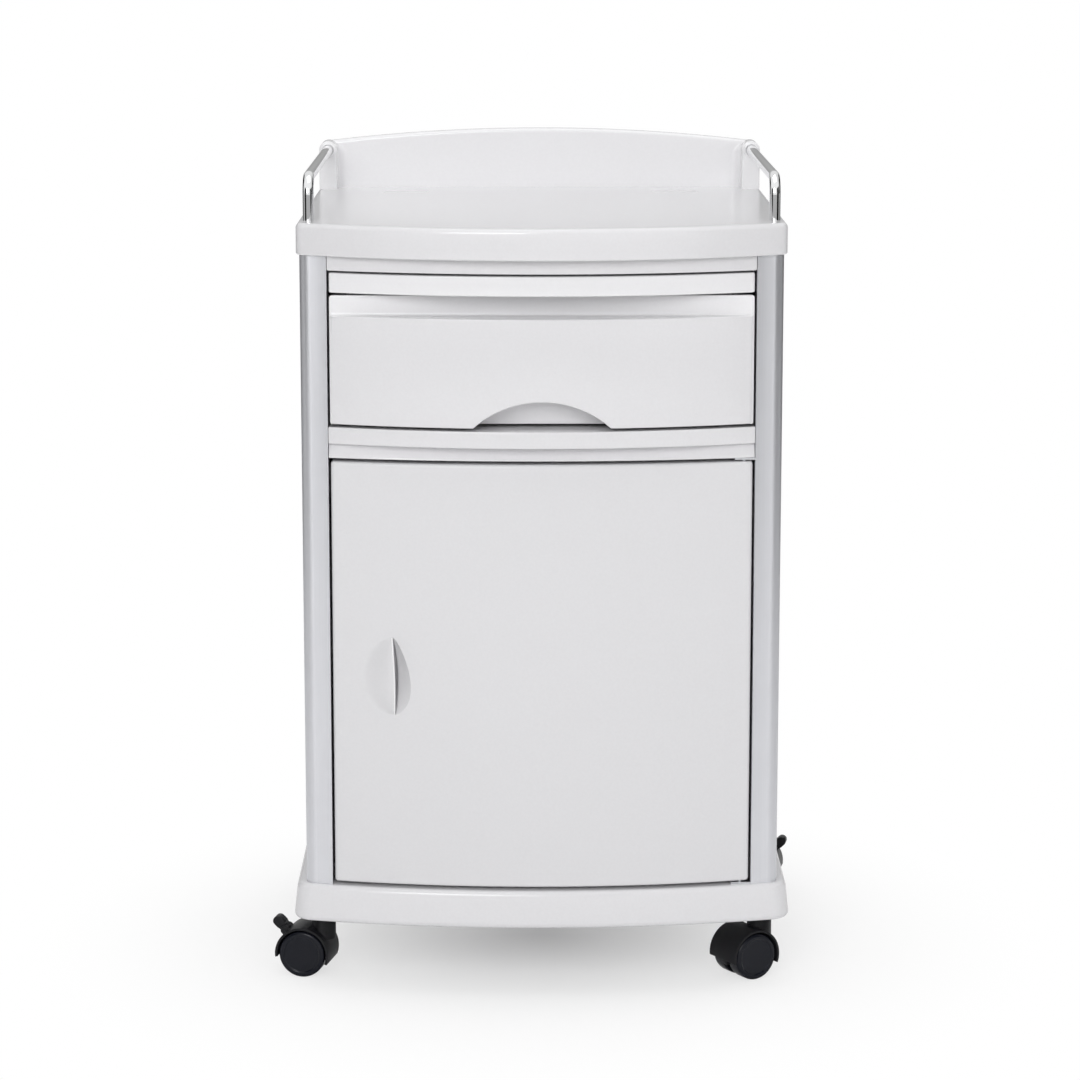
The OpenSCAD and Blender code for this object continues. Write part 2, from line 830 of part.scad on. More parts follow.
pull_x = -front_half + 60.5;
pull_wall = 2.5;
pull_ball_r = (pull_half * pull_half + pull_rise * pull_rise) / (2 * pull_rise);
dish_reach = 11;
dish_depth = 15;
dish_under = 24;
dish_half = pull_half - 1.5;
dish_rim_r = (dish_half * dish_half + dish_reach * dish_reach) / (2 * dish_reach);
dish_ball_r = dish_rim_r + 15;
pin_depth = 14;
liner_t = 3;
liner_half = front_half - front_wall;

// Moves to the middle of the pull's lip, with -Y standing straight out of the door's surface
module at_pull() {
    translate([pull_x, bow_y(pull_x, door_y, door_bow), pull_z])
        rotate([0, 0, asin(pull_x / bow_radius(door_bow))]) children();
}

module pull_ball(wall) {
    translate([0, pull_ball_r - pull_rise, 0]) rotate([0, 90, 0]) sphere(pull_ball_r - wall);
}

// Shell that stands out of the door on the left of the lip, and the wall of the dish behind it
module pull_shell() {
    reach = pull_half + 3;
    intersection() {
        pull_ball(0);
        box([-reach, -pull_rise - past, -reach], [0, 2.2, reach]);
    }
    upright(1.5, dish_depth + pull_wall) circle(reach);
}

// Finger space: under the shell, and a dish that runs out to the right of the lip
module pull_hollow() {
    intersection() {
        pull_ball(pull_wall);
        box([-pull_half, -pull_rise - past, -pull_half], [past / 2, front_wall + 0.5, pull_half]);
    }
    intersection() {
        translate([dish_reach - dish_rim_r, -sqrt(pow(dish_ball_r, 2) - pow(dish_rim_r, 2)), 0])
            rotate([0, 90, 0]) sphere(dish_ball_r);
        union() {
            box([0, -pull_rise, -pull_half], [dish_reach + 2, dish_depth, pull_half]);
            intersection() {
                box([-dish_under, 0, -pull_half], [past, dish_depth, pull_half]);
                upright(0, dish_depth) circle(pull_half - 6);
            }
        }
    }
}

module door_skin() {
    color("whitesmoke") difference() {
        union() {
            difference() {
                bowed_block(front_half, door_y, door_bow, door_rear, front_corner, door_z, door_top,
                    board_edge, board_edge);
                bow_slab(liner_half, door_y, door_bow, door_rear + past, door_z + front_wall,
                    door_top - front_wall, front_wall);
            }
            at_pull() pull_shell();
            for (z = [door_z + 1, door_top - pin_depth - 3]) translate([hinge_x, hinge_y, z])
                cylinder(h = pin_depth + 2, r = pin_r + 2);
        }
        at_pull() pull_hollow();
        for (z = [door_z - past, door_top - pin_depth]) translate([hinge_x, hinge_y, z])
            cylinder(h = pin_depth + past, r = pin_r, $fn = 48);
    }
}

strike_x = catch_x + 5;
strike_w = catch_w - 10;
strike_z = band_z - 19;
strike_h = 10;

// Flat back of the door, with a shallow field and a seat for the strike plate
module door_liner() {
    low_z = door_z + front_wall;
    high_z = door_top - front_wall;
    color("gainsboro") difference() {
        box([-liner_half, door_rear - liner_t, low_z], [liner_half, door_rear, high_z]);
        upright(door_rear - field_depth, door_rear + past)
            rounded_area([field_margin - liner_half, low_z + field_margin],
                [liner_half - field_margin, high_z - field_margin], field_round);
        box([strike_x, door_rear - strike_t, strike_z],
            [strike_x + strike_w, door_rear + past, strike_z + strike_h]);
    }
}

module strike_plate() {
    color("silver") box([strike_x, door_rear - strike_t, strike_z],
        [strike_x + strike_w, door_rear, strike_z + strike_h]);
}

module door_pins() {
    color("silver") for (z = [base_top + slip, door_top - pin_depth]) translate([hinge_x, hinge_y, z])
        cylinder(h = pin_depth + front_gap - slip, r = pin_r, $fn = 48);
}

// ---- Casters: drawn with the swivel's axis at the origin and the wheels behind it, at -X ----

wheel_r = wheel_d / 2;
web_half = 4.3;
fender_in = wheel_r + 1.7;
fender_out = fender_in + 2.3;
hood_half = web_half + slip + wheel_w + 0.4;
housing_r = 12.5;
housing_z = wheel_r + 14;
fender_front = -20;
fender_back = 187;
caster_yaw = [-12, 32, 212, 168];
pedal_at = [-21, 21];
pedal_hub = 4.5;
pedal_half = 6;
pedal_pin_r = 1.6;
pedal_neck = 4.2;
pedal_grip = 5;
ear_t = 2.5;
end_steps = 10;

module place_caster(i) {
    translate([caster_spots[i][0], caster_spots[i][1], 0]) rotate([0, 0, caster_yaw[i]]) children();
}

// A shape drawn around the wheels' axis, made thick from y0 to y1
module around_axle(y0, y1) {
    translate([-trail, 0, wheel_r]) upright(y0, y1) children();
}

// A bar with round ends
module rounded_bar(a, b, r) {
    along = atan2(b[1] - a[1], b[0] - a[0]);
    polygon(concat(
        [for (i = [0 : end_steps]) let (t = along + 90 + 180 * i / end_steps) a + r * [cos(t), sin(t)]],
        [for (i = [0 : end_steps]) let (t = along - 90 + 180 * i / end_steps) b + r * [cos(t), sin(t)]]
    ));
}

// Part of the side view that the fender covers
module fender_sector() {
    far = 2 * fender_out;
    polygon([[0, 0], far * [cos(fender_front), sin(fender_front)], [far, far], [-far, far],
        far * [cos(fender_back), sin(fender_back)]]);
}

module hood(braked) {
    color("dimgray") difference() {
        union() {
            around_axle(-hood_half, hood_half) intersection() {
                difference() {
                    circle(fender_out);
                    circle(fender_in);
                }
                fender_sector();
            }
            around_axle(-web_half, web_half) intersection() {
                circle(fender_in + 0.5);
                translate([-wheel_d, -9]) square(2 * wheel_d);
            }
            difference() {
                translate([0, 0, housing_z]) cylinder(h = hood_top - housing_z, r = housing_r);
                for (side = [-1, 1])
                    around_axle(side > 0 ? web_half : -hood_half, side > 0 ? hood_half : -web_half)
                    circle(fender_in);
            }
            if (braked) around_axle(-pedal_half - slip - ear_t, pedal_half + slip + ear_t) difference() {
                rounded_bar(pedal_at, pedal_at * 0.93, pedal_hub);
                circle(fender_in);
            }
        }
        translate([0, 0, stem_foot - slip]) cylinder(h = hood_top, r = stem_r + run);
        around_axle(-web_half - past, web_half + past) circle(axle_r);
        if (braked) around_axle(-pedal_half - slip, pedal_half + slip)
            rounded_bar(pedal_at, pedal_at * 1.5, pedal_hub + slip);
    }
    if (braked) color("dimgray") around_axle(-pedal_half - slip - ear_t, pedal_half + slip + ear_t)
        translate(pedal_at) circle(pedal_pin_r, $fn = 48);
}

module axle() {
    half = web_half + slip + wheel_w - 2.2;
    color("silver") around_axle(-half, half) circle(axle_r);
}

// Moulded wheel: a rounded tread, a dished outer face and a hollow between hub and rim inside
module wheel(side) {
    shoulder = 3;
    heel = 2;
    face = 18;
    hub = 9;
    rim_in = wheel_r - 4;
    web = 5;
    color("black") translate([-trail, side * (web_half + slip), wheel_r]) rotate([-side * 90, 0, 0])
        difference() {
            rotate_extrude() polygon(concat(
                [[0, 0], [hub, 0], [hub, wheel_w - web], [rim_in, wheel_w - web], [rim_in, 0]],
                [for (a = [0 : 22.5 : 90]) [wheel_r - heel + heel * sin(a), heel - heel * cos(a)]],
                [for (a = [0 : 18 : 90])
                    [wheel_r - shoulder + shoulder * cos(a), wheel_w - shoulder + shoulder * sin(a)]],
                [[face + 1, wheel_w], [face, wheel_w - 0.8], [0, wheel_w - 0.8]]
            ));
            translate([0, 0, -past]) cylinder(h = wheel_w - 2 + past, r = axle_r + run);
        }
}

// Brake pedal: a lever on the hood's pin, shown released
module pedal() {
    grip = [[-29.2, 29.4], [-26, 26.4]];
    color("dimgray") around_axle(-pedal_half, pedal_half) difference() {
        union() {
            rounded_bar(pedal_at, (grip[0] + grip[1]) / 2, pedal_neck);
            translate(pedal_at) circle(pedal_hub, $fn = 64);
            rounded_bar(grip[0], grip[1], pedal_grip);
        }
        translate(pedal_at) circle(pedal_pin_r + run, $fn = 48);
    }
}

module hood_front_left() { place_caster(0) hood(true); }
module hood_front_right() { place_caster(1) hood(false); }
module hood_rear_left() { place_caster(2) hood(false); }
module hood_rear_right() { place_caster(3) hood(true); }
module axle_front_left() { place_caster(0) axle(); }
module axle_front_right() { place_caster(1) axle(); }
module axle_rear_left() { place_caster(2) axle(); }
module axle_rear_right() { place_caster(3) axle(); }
module wheel_front_left_a() { place_caster(0) wheel(-1); }
module wheel_front_left_b() { place_caster(0) wheel(1); }
module wheel_front_right_a() { place_caster(1) wheel(-1); }
module wheel_front_right_b() { place_caster(1) wheel(1); }
module wheel_rear_left_a() { place_caster(2) wheel(-1); }
module wheel_rear_left_b() { place_caster(2) wheel(1); }
module wheel_rear_right_a() { place_caster(3) wheel(-1); }
module wheel_rear_right_b() { place_caster(3) wheel(1); }
module pedal_front_left() { place_caster(0) pedal(); }
module pedal_rear_right() { place_caster(3) pedal(); }

base();
caster_stems();
front_column_left();
front_column_right();
rear_column_left();
rear_column_right();
side_panel_left();
side_panel_right();
back_panel();
top_tray();
back_board();
guard_rail_left();
guard_rail_right();
top_strip();
divider_rail();
partition();
board_guides();
slide_blocks();
drawer_slides();
inner_shelf();
shelf_pegs();
magnet_catch();
hinge_plates();
slide_out_board();
drawer_plate();
drawer_front();
drawer_box();
drawer_runners();
drawer_screws();
door_skin();
door_liner();
door_pins();
strike_plate();
hood_front_left();
hood_front_right();
hood_rear_left();
hood_rear_right();
axle_front_left();
axle_front_right();
axle_rear_left();
axle_rear_right();
wheel_front_left_a();
wheel_front_left_b();
wheel_front_right_a();
wheel_front_right_b();
wheel_rear_left_a();
wheel_rear_left_b();
wheel_rear_right_a();
wheel_rear_right_b();
pedal_front_left();
pedal_rear_right();
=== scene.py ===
import math
import bpy
import bmesh
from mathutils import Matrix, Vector


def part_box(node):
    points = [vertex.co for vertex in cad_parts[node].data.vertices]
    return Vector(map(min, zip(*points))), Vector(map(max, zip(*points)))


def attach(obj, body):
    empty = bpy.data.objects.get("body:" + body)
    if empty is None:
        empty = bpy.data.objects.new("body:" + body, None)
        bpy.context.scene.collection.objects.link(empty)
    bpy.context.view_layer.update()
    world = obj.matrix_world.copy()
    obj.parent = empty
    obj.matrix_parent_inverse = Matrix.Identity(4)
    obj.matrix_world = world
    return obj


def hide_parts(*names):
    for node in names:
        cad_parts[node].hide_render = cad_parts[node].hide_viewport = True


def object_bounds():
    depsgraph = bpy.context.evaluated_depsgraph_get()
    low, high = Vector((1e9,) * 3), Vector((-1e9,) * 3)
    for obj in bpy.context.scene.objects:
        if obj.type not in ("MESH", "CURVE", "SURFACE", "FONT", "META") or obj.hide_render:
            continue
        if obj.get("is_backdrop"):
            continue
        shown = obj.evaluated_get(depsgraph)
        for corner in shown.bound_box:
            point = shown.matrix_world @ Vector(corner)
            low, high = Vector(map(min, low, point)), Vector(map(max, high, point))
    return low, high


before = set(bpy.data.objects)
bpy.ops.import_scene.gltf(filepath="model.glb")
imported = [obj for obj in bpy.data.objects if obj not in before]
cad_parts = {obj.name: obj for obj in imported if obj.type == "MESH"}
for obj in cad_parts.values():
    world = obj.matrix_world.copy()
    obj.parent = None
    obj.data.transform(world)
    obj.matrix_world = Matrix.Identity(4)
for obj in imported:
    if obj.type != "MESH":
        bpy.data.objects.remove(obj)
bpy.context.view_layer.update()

# ---- Floor, light and camera ----
# A pale floor that runs out to plain white, an even white room and five soft lamps,
# set so that a colour shows about as it is written. Black cards out of sight give
# the chromed rails something dark to reflect, as in any product studio.

scene = bpy.context.scene
MM = 0.001


def wire(tree, kind, settings=(), **sockets):
    """A node with its settings, and its sockets set to values or joined to other nodes' outputs."""
    node = tree.nodes.new(kind)
    for name, value in dict(settings).items():
        setattr(node, name, value)
    for name, value in sockets.items():
        name = name.replace("_", " ")
        socket = node.inputs[int(name)] if name.isdigit() else node.inputs[name]
        if isinstance(value, bpy.types.NodeSocket):
            tree.links.new(value, socket)
        else:
            socket.default_value = value
    return node


def reckon(tree, operation, *values, clamp=False):
    """Output of a Math node that works on values."""
    numbered = {str(i): value for i, value in enumerate(values)}
    return wire(tree, "ShaderNodeMath", {"operation": operation, "use_clamp": clamp}, **numbered).outputs[0]


def ramp(tree, value, low, high, start=0.0, end=1.0, eased=False):
    """Output that goes from start to end while value goes from low to high."""
    kind = {"interpolation_type": "SMOOTHSTEP" if eased else "LINEAR"}
    return wire(tree, "ShaderNodeMapRange", kind, **{"Value": value, "From Min": low, "From Max": high,
                                                     "To Min": start, "To Max": end}).outputs["Result"]


def seen_directly(tree):
    """Output that is 1 for what the camera sees, also through something clear."""
    rays = tree.nodes.new("ShaderNodeLightPath").outputs
    return reckon(tree, "ADD", rays["Is Camera Ray"], rays["Is Transmission Ray"], clamp=True)


def empty_material(name):
    material = bpy.data.materials.new(name)
    material.use_nodes = True
    material.node_tree.nodes.clear()
    return material, material.node_tree


room_level = 0.46
room = bpy.data.worlds.new("studio_room")
room.use_nodes = True
tree = room.node_tree
tree.nodes.clear()
rays = tree.nodes.new("ShaderNodeLightPath")
around = wire(tree, "ShaderNodeSeparateXYZ", Vector=tree.nodes.new("ShaderNodeTexCoord").outputs["Generated"])
ahead = ramp(tree, around.outputs["Y"], -0.9, 0.35, 0.98, 0.36)
above = ramp(tree, around.outputs["Z"], 0.08, 0.5, 0.0, 0.5)
aside = ramp(tree, around.outputs["X"], 0.3, 0.95, 0.0, -0.3)
mirrored = reckon(tree, "ADD", reckon(tree, "ADD", ahead, above), aside, clamp=True)
soft = wire(tree, "ShaderNodeMix", Factor=rays.outputs["Is Glossy Ray"], A=room_level, B=mirrored)
level = wire(tree, "ShaderNodeMix", Factor=seen_directly(tree), A=soft.outputs[0], B=1.0)
room_light = wire(tree, "ShaderNodeBackground", Color=(1, 1, 1, 1), Strength=level.outputs[0])
wire(tree, "ShaderNodeOutputWorld", Surface=room_light.outputs[0])
scene.world = room
scene.view_settings.view_transform = "Standard"

floor_paint, tree = empty_material("floor_white")
place = tree.nodes.new("ShaderNodeTexCoord").outputs["Object"]
flat = wire(tree, "ShaderNodeVectorMath", {"operation": "MULTIPLY"}, **{"0": place, "1": (1, 1, 0)})
reach = wire(tree, "ShaderNodeVectorMath", {"operation": "LENGTH"}, **{"0": flat.outputs[0]})
fade = ramp(tree, reach.outputs["Value"], -0.25, 0.56, eased=True)
glow = reckon(tree, "MULTIPLY", fade, seen_directly(tree))
chalk = wire(tree, "ShaderNodeBsdfDiffuse", Color=(0.97, 0.97, 0.97, 1))
white = wire(tree, "ShaderNodeEmission", Color=(1, 1, 1, 1), Strength=1.0)
blend = wire(tree, "ShaderNodeMixShader", **{"0": glow, "1": chalk.outputs[0], "2": white.outputs[0]})
wire(tree, "ShaderNodeOutputMaterial", Surface=blend.outputs[0])

floor_r, floor_steps = 40, 96
floor_mesh = bpy.data.meshes.new("studio_floor")
turns = [2 * math.pi * i / floor_steps for i in range(floor_steps)]
floor_mesh.from_pydata([(floor_r * math.cos(t), floor_r * math.sin(t), 0) for t in turns], [],
                       [tuple(range(floor_steps))])
floor_mesh.materials.append(floor_paint)
floor = bpy.data.objects.new("studio_floor", floor_mesh)
scene.collection.objects.link(floor)
floor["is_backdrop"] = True

for name, at, aim_z, size, watts, in_gloss in (
        ("lamp_front_left", (-0.8, -3.4, 1.9), 0.42, 1.3, 37.5, True),
        ("lamp_front_right", (1.5, -3.0, 1.2), 0.40, 1.2, 12.5, False),
        ("lamp_over", (0.1, -0.3, 3.0), 0.5, 1.8, 18.5, True),
        ("lamp_back_left", (-1.5, 2.9, 0.8), 0.42, 1.3, 10, False),
        ("lamp_back_right", (1.8, 2.4, 0.8), 0.42, 1.3, 12, False)):
    lamp = bpy.data.lights.new(name, "AREA")
    lamp.shape = "RECTANGLE"
    lamp.size = lamp.size_y = size
    lamp.energy = watts
    holder = bpy.data.objects.new(name, lamp)
    holder.location = at
    holder.rotation_euler = (Vector((0, 0, aim_z)) - Vector(at)).to_track_quat("-Z", "Y").to_euler()
    holder.visible_camera = False
    holder.visible_glossy = in_gloss
    scene.collection.objects.link(holder)

card_black, tree = empty_material("card_black")
soot = wire(tree, "ShaderNodeBsdfDiffuse", Color=(0.01, 0.01, 0.01, 1))
wire(tree, "ShaderNodeOutputMaterial", Surface=soot.outputs[0])
for name, low, high in (("card_left", (-2.05, -0.75, 0.1), (-1.45, -1.75, 1.7)),
                        ("card_right", (1.45, -1.75, 0.1), (2.1, -0.45, 1.7)),
                        ("card_rear_left", (-2.2, 0.6, 0.0), (-1.4, 1.8, 1.9)),
                        ("card_rear_right", (1.4, 1.8, 0.0), (2.2, 0.6, 1.9))):
    mesh = bpy.data.meshes.new(name)
    mesh.from_pydata([(low[0], low[1], low[2]), (high[0], high[1], low[2]), (high[0], high[1], high[2]),
                      (low[0], low[1], high[2])], [], [(0, 1, 2, 3)])
    mesh.materials.append(card_black)
    card = bpy.data.objects.new(name, mesh)
    card.visible_camera = card.visible_diffuse = card.visible_shadow = False
    card.visible_transmission = card.visible_volume_scatter = False
    scene.collection.objects.link(card)
    card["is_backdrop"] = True

camera_tilt, camera_turn = 0.1834, -0.0056
camera = bpy.data.objects.new("camera", bpy.data.cameras.new("camera"))
camera.data.sensor_width = 36
camera.data.lens = 117.12
camera.location = (-0.0209, -3.6, 1.0945)
camera.rotation_euler = (math.pi / 2 - camera_tilt, 0, camera_turn)
camera.data.clip_start, camera.data.clip_end = 0.05, 100
scene.collection.objects.link(camera)
scene.camera = camera

# ---- Base moulding ----
# A white ABS tray turned upside down: one moulding with a bowed front, walls that
# lean in a little, a soft lower rim and a grid of ribs under it. The casters' stems
# stand in it.

table_half = 240


def bow_radius(bow):
    """Radius of a bowed front that stands out by bow over the table's width."""
    return (table_half ** 2 + bow ** 2) / (2 * bow)


def bow_front(x, corner_y, bow):
    """Y of a bowed front at x."""
    return corner_y - bow + bow_radius(bow) - math.sqrt(bow_radius(bow) ** 2 - x * x)


def sweep(cx, cy, r, first, last, steps):
    """Points on an arc. Its angles count from -Y towards +X."""
    angles = [math.radians(first + (last - first) * i / steps) for i in range(steps + 1)]
    return [(cx + r * math.sin(a), cy - r * math.cos(a)) for a in angles]


def quarter(steps):
    """Angles of a quarter turn."""
    return [math.pi / 2 * i / steps for i in range(steps + 1)]


heel_steps, least_corner, least_heel = 3, 0.25, 0.2


def bowed_outline(half, corner_y, bow, back_y, corner, heel=1.0, inset=0.0, steps=64, turn=8):
    """Plan of a moulding with a bowed front, rounded front corners and small back corners."""
    r = bow_radius(bow) - inset
    centre = corner_y - bow + bow_radius(bow)
    c = max(corner - inset, least_corner)
    h = max(heel - inset, least_heel)
    fx = half - inset - c
    fy = centre - math.sqrt((r - c) ** 2 - fx * fx)
    a = math.degrees(math.asin(fx / (r - c)))
    points = sweep(0, centre, r, -a, a, steps)
    points += sweep(fx, fy, c, a, 90, turn)[1:]
    points += sweep(half - inset - h, back_y - inset - h, h, 90, 180, heel_steps)
    points += sweep(inset + h - half, back_y - inset - h, h, 180, 270, heel_steps)
    points += sweep(-fx, fy, c, -90, -a, turn)[:-1]
    return points


def rim_levels(low, high, r_low, r_high, lean=0.0, steps=6, lip=1.0):
    """Heights and insets up a moulded wall with rounded edges. lip keeps the flats flat."""
    levels = [(low, r_low + lip)] if r_low else [(low, lip), (low, 0)]
    if r_low:
        levels += [(low + r_low * (1 - math.cos(t)), r_low * (1 - math.sin(t))) for t in quarter(steps)]
    if r_high:
        levels += [(high - r_high * (1 - math.cos(t)), r_high * (1 - math.sin(t)))
                   for t in reversed(quarter(steps))]
        levels += [(high, r_high + lip)]
    else:
        levels += [(high, 0), (high, lip)]
    return [(z, inset + lean * (z - low) / (high - low)) for z, inset in levels]


def upright(point, z):
    """A plan's point at height z."""
    return (point[0], point[1], z)


def finish_mesh(name, mesh, material, sharp=32):
    """Merges doubles, turns the faces outwards, shades smooth but for real edges."""
    work = bmesh.new()
    work.from_mesh(mesh)
    bmesh.ops.remove_doubles(work, verts=work.verts, dist=1e-6)
    bmesh.ops.dissolve_degenerate(work, edges=work.edges, dist=1e-6)
    bmesh.ops.recalc_face_normals(work, faces=work.faces)
    work.to_mesh(mesh)
    work.free()
    mesh.shade_smooth()
    mesh.set_sharp_from_angle(angle=math.radians(sharp))
    mesh.materials.clear()
    mesh.materials.append(material)
    piece = bpy.data.objects.new(name, mesh)
    scene.collection.objects.link(piece)
    return piece


def stacked(rings, ends=True):
    """Mesh through rings of the same number of points, in millimetres."""
    count = len(rings[0])
    mesh = bpy.data.meshes.new("stacked")
    points = [tuple(v * MM for v in p) for ring in rings for p in ring]
    faces = []
    for first in range(0, (len(rings) - 1) * count, count):
        for i in range(count):
            after = (i + 1) % count
            faces.append((first + i, first + after, first + count + after, first + count + i))
    if ends:
        faces.append(tuple(reversed(range(count))))
        faces.append(tuple(range((len(rings) - 1) * count, len(rings) * count)))
    mesh.from_pydata(points, [], faces)
    return mesh


def joined(*meshes):
    """One mesh made of several that stand in or on each other."""
    work = bmesh.new()
    for mesh in meshes:
        work.from_mesh(mesh)
    whole = bpy.data.meshes.new("joined")
    work.to_mesh(whole)
    work.free()
    return whole


def add_sockets(tree, inputs, outputs):
    """Gives a node tree its inputs and outputs. Returns what can be joined inside it."""
    for name, kind, value in inputs:
        socket = tree.interface.new_socket(name, in_out="INPUT", socket_type="NodeSocket" + kind)
        if value is not None:
            socket.default_value = value
    for name, kind in outputs:
        tree.interface.new_socket(name, in_out="OUTPUT", socket_type="NodeSocket" + kind)
    return tree.nodes.new("NodeGroupInput").outputs, tree.nodes.new("NodeGroupOutput").inputs


def mixed_colour(tree, part, first, second):
    """Output that goes from the first colour to the second as part goes from 0 to 1."""
    mix = wire(tree, "ShaderNodeMix", {"data_type": "RGBA"}, Factor=part, A=first, B=second)
    return mix.outputs["Result"]


surface_outputs = (("Color", "Color"), ("Roughness", "Float"), ("Height", "Float"))
dust_grey = (0.42, 0.42, 0.43, 1)


def moulding_group():
    """Shared surface of moulded plastic: drifting tone, fine orange peel and handling dust."""
    group = bpy.data.node_groups.new("moulded_skin", "ShaderNodeTree")
    given, out = add_sockets(group, (
        ("Tone", "Color", (0.8, 0.8, 0.8, 1)), ("Shade", "Color", (0.7, 0.7, 0.7, 1)),
        ("Drift", "Float", 0.5), ("Peel Scale", "Float", 400.0), ("Smooth", "Float", 0.3),
        ("Rough", "Float", 0.45), ("Dust", "Float", 0.1)), surface_outputs)
    place = group.nodes.new("ShaderNodeTexCoord").outputs["Object"]
    cloud = wire(group, "ShaderNodeTexNoise", Vector=place, Scale=1.3, Detail=0.0).outputs["Fac"]
    peel = wire(group, "ShaderNodeTexNoise", Vector=place, Scale=given["Peel Scale"],
                Detail=2.0).outputs["Fac"]
    drifting = ramp(group, cloud, 0.2, 0.8, eased=True)
    grit = ramp(group, peel, 0.3, 0.7, 0.0, 0.6)
    part = reckon(group, "MULTIPLY_ADD", drifting, given["Drift"], grit, clamp=True)
    tone = mixed_colour(group, part, given["Tone"], given["Shade"])
    speck = wire(group, "ShaderNodeTexVoronoi", Vector=place, Scale=260.0).outputs["Distance"]
    grain = wire(group, "ShaderNodeTexNoise", Vector=place, Scale=55.0, Detail=3.0).outputs["Fac"]
    few = reckon(group, "MULTIPLY", ramp(group, speck, 0.045, 0.02), ramp(group, grain, 0.56, 0.66))
    dusted = mixed_colour(group, reckon(group, "MULTIPLY", few, given["Dust"]), tone, dust_grey)
    wipe = wire(group, "ShaderNodeTexNoise", Vector=place, Scale=2.2, Detail=0.0).outputs["Fac"]
    rough = ramp(group, wipe, 0.15, 0.85, given["Smooth"], given["Rough"], eased=True)
    for name, value in (("Color", dusted), ("Roughness", rough), ("Height", peel)):
        group.links.new(value, out[name])
    return group


def dressed(name, group, values, height, **finish):
    """Material whose colour, roughness and bump come from a shared surface."""
    material, tree = empty_material(name)
    skin = wire(tree, "ShaderNodeGroup", {"node_tree": group}, **values)
    bump = wire(tree, "ShaderNodeBump", Height=skin.outputs["Height"], Strength=1.0, Distance=height)
    body = wire(tree, "ShaderNodeBsdfPrincipled", **{
        "Base Color": skin.outputs["Color"], "Roughness": skin.outputs["Roughness"],
        "Normal": bump.outputs["Normal"], **finish})
    wire(tree, "ShaderNodeOutputMaterial", Surface=body.outputs[0])
    return material


moulded_skin = moulding_group()


def plastic(name, tone, shade, peel=420.0, smooth=0.3, rough=0.42, height=0.00002, drift=0.2, dust=0.02,
            gloss=0.5):
    """Moulded plastic with its own tone, peel and gloss."""
    return dressed(name, moulded_skin, {
        "Tone": (*tone, 1), "Shade": (*shade, 1), "Drift": drift, "Peel Scale": peel, "Smooth": smooth,
        "Rough": rough, "Dust": dust}, height, **{"Specular IOR Level": gloss})


abs_white = plastic("abs_white", (0.768, 0.763, 0.779), (0.740, 0.735, 0.751), peel=380.0, smooth=0.15,
                    rough=0.21, height=0.000018)

base_low, base_high = (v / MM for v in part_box("base"))
base_half, base_bow, base_corner, base_heel = base_high[0], 30, 22, 6
base_corner_y, base_wall, base_lean = base_low[1] + base_bow, 4, 4
base_r_low, base_r_high = 6, 5
ceiling = base_high[2] - base_wall


def base_ring(z, inset):
    return [upright(p, z) for p in bowed_outline(base_half, base_corner_y, base_bow, base_high[1],
                                                 base_corner, heel=base_heel, inset=inset)]


# Heights and insets down the hollow's wall, then up the outside
inside = 2 * base_wall
base_inner = [(ceiling, inside + 12), (ceiling, inside + 4), (ceiling - 2.5, inside + 0.6),
              (base_low[2] + 9, inside + 0.4), (base_low[2] + 1.5, inside + 2), (base_low[2], inside + 3.5)]
base_outer = rim_levels(base_low[2], base_high[2], base_r_low, base_r_high, base_lean)[1:]
base_shell = stacked([base_ring(z, inset) for z, inset in base_inner + base_outer])
base_piece = finish_mesh("base_shell", base_shell, abs_white)
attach(base_piece, "cabinet")
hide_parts("base")


def rib_tree():
    """Node tree: a row of upright ribs, one for each point of a line across the moulding."""
    tree = bpy.data.node_groups.new("rib_row", "GeometryNodeTree")
    given, out = add_sockets(tree, (
        ("Count", "Int", 3), ("Start", "Vector", (0, 0, 0)), ("Step", "Vector", (0.1, 0, 0)),
        ("Size", "Vector", (0.003, 0.4, 0.02)), ("Finish", "Material", None)), (("Ribs", "Geometry"),))
    line = wire(tree, "GeometryNodeMeshLine", Count=given["Count"], Offset=given["Step"])
    tree.links.new(given["Start"], line.inputs["Start Location"])
    rib = wire(tree, "GeometryNodeMeshCube", Size=given["Size"])
    stood = wire(tree, "GeometryNodeInstanceOnPoints", Points=line.outputs["Mesh"],
                 Instance=rib.outputs["Mesh"])
    real = wire(tree, "GeometryNodeRealizeInstances", Geometry=stood.outputs["Instances"])
    finished = wire(tree, "GeometryNodeSetMaterial", Geometry=real.outputs["Geometry"],
                    Material=given["Finish"])
    tree.links.new(finished.outputs["Geometry"], out["Ribs"])
    return tree


def grown(name, tree, material, **inputs):
    """Runs a node tree once and keeps what it makes as a plain mesh."""
    holder = bpy.data.objects.new(name, bpy.data.meshes.new(name))
    scene.collection.objects.link(holder)
    made = holder.modifiers.new("made", "NODES")
    made.node_group = tree
    sockets = {item.name: item.identifier for item in tree.interface.items_tree if item.in_out == "INPUT"}
    for key, value in {**inputs, "Finish": material}.items():
        made[sockets[key]] = value
    view = bpy.context.evaluated_depsgraph_get()
    mesh = bpy.data.meshes.new_from_object(holder.evaluated_get(view), depsgraph=view)
    holder.modifiers.clear()
    bpy.data.objects.remove(holder)
    mesh.materials.clear()
    mesh.materials.append(material)
    piece = bpy.data.objects.new(name, mesh)
    scene.collection.objects.link(piece)
    return piece


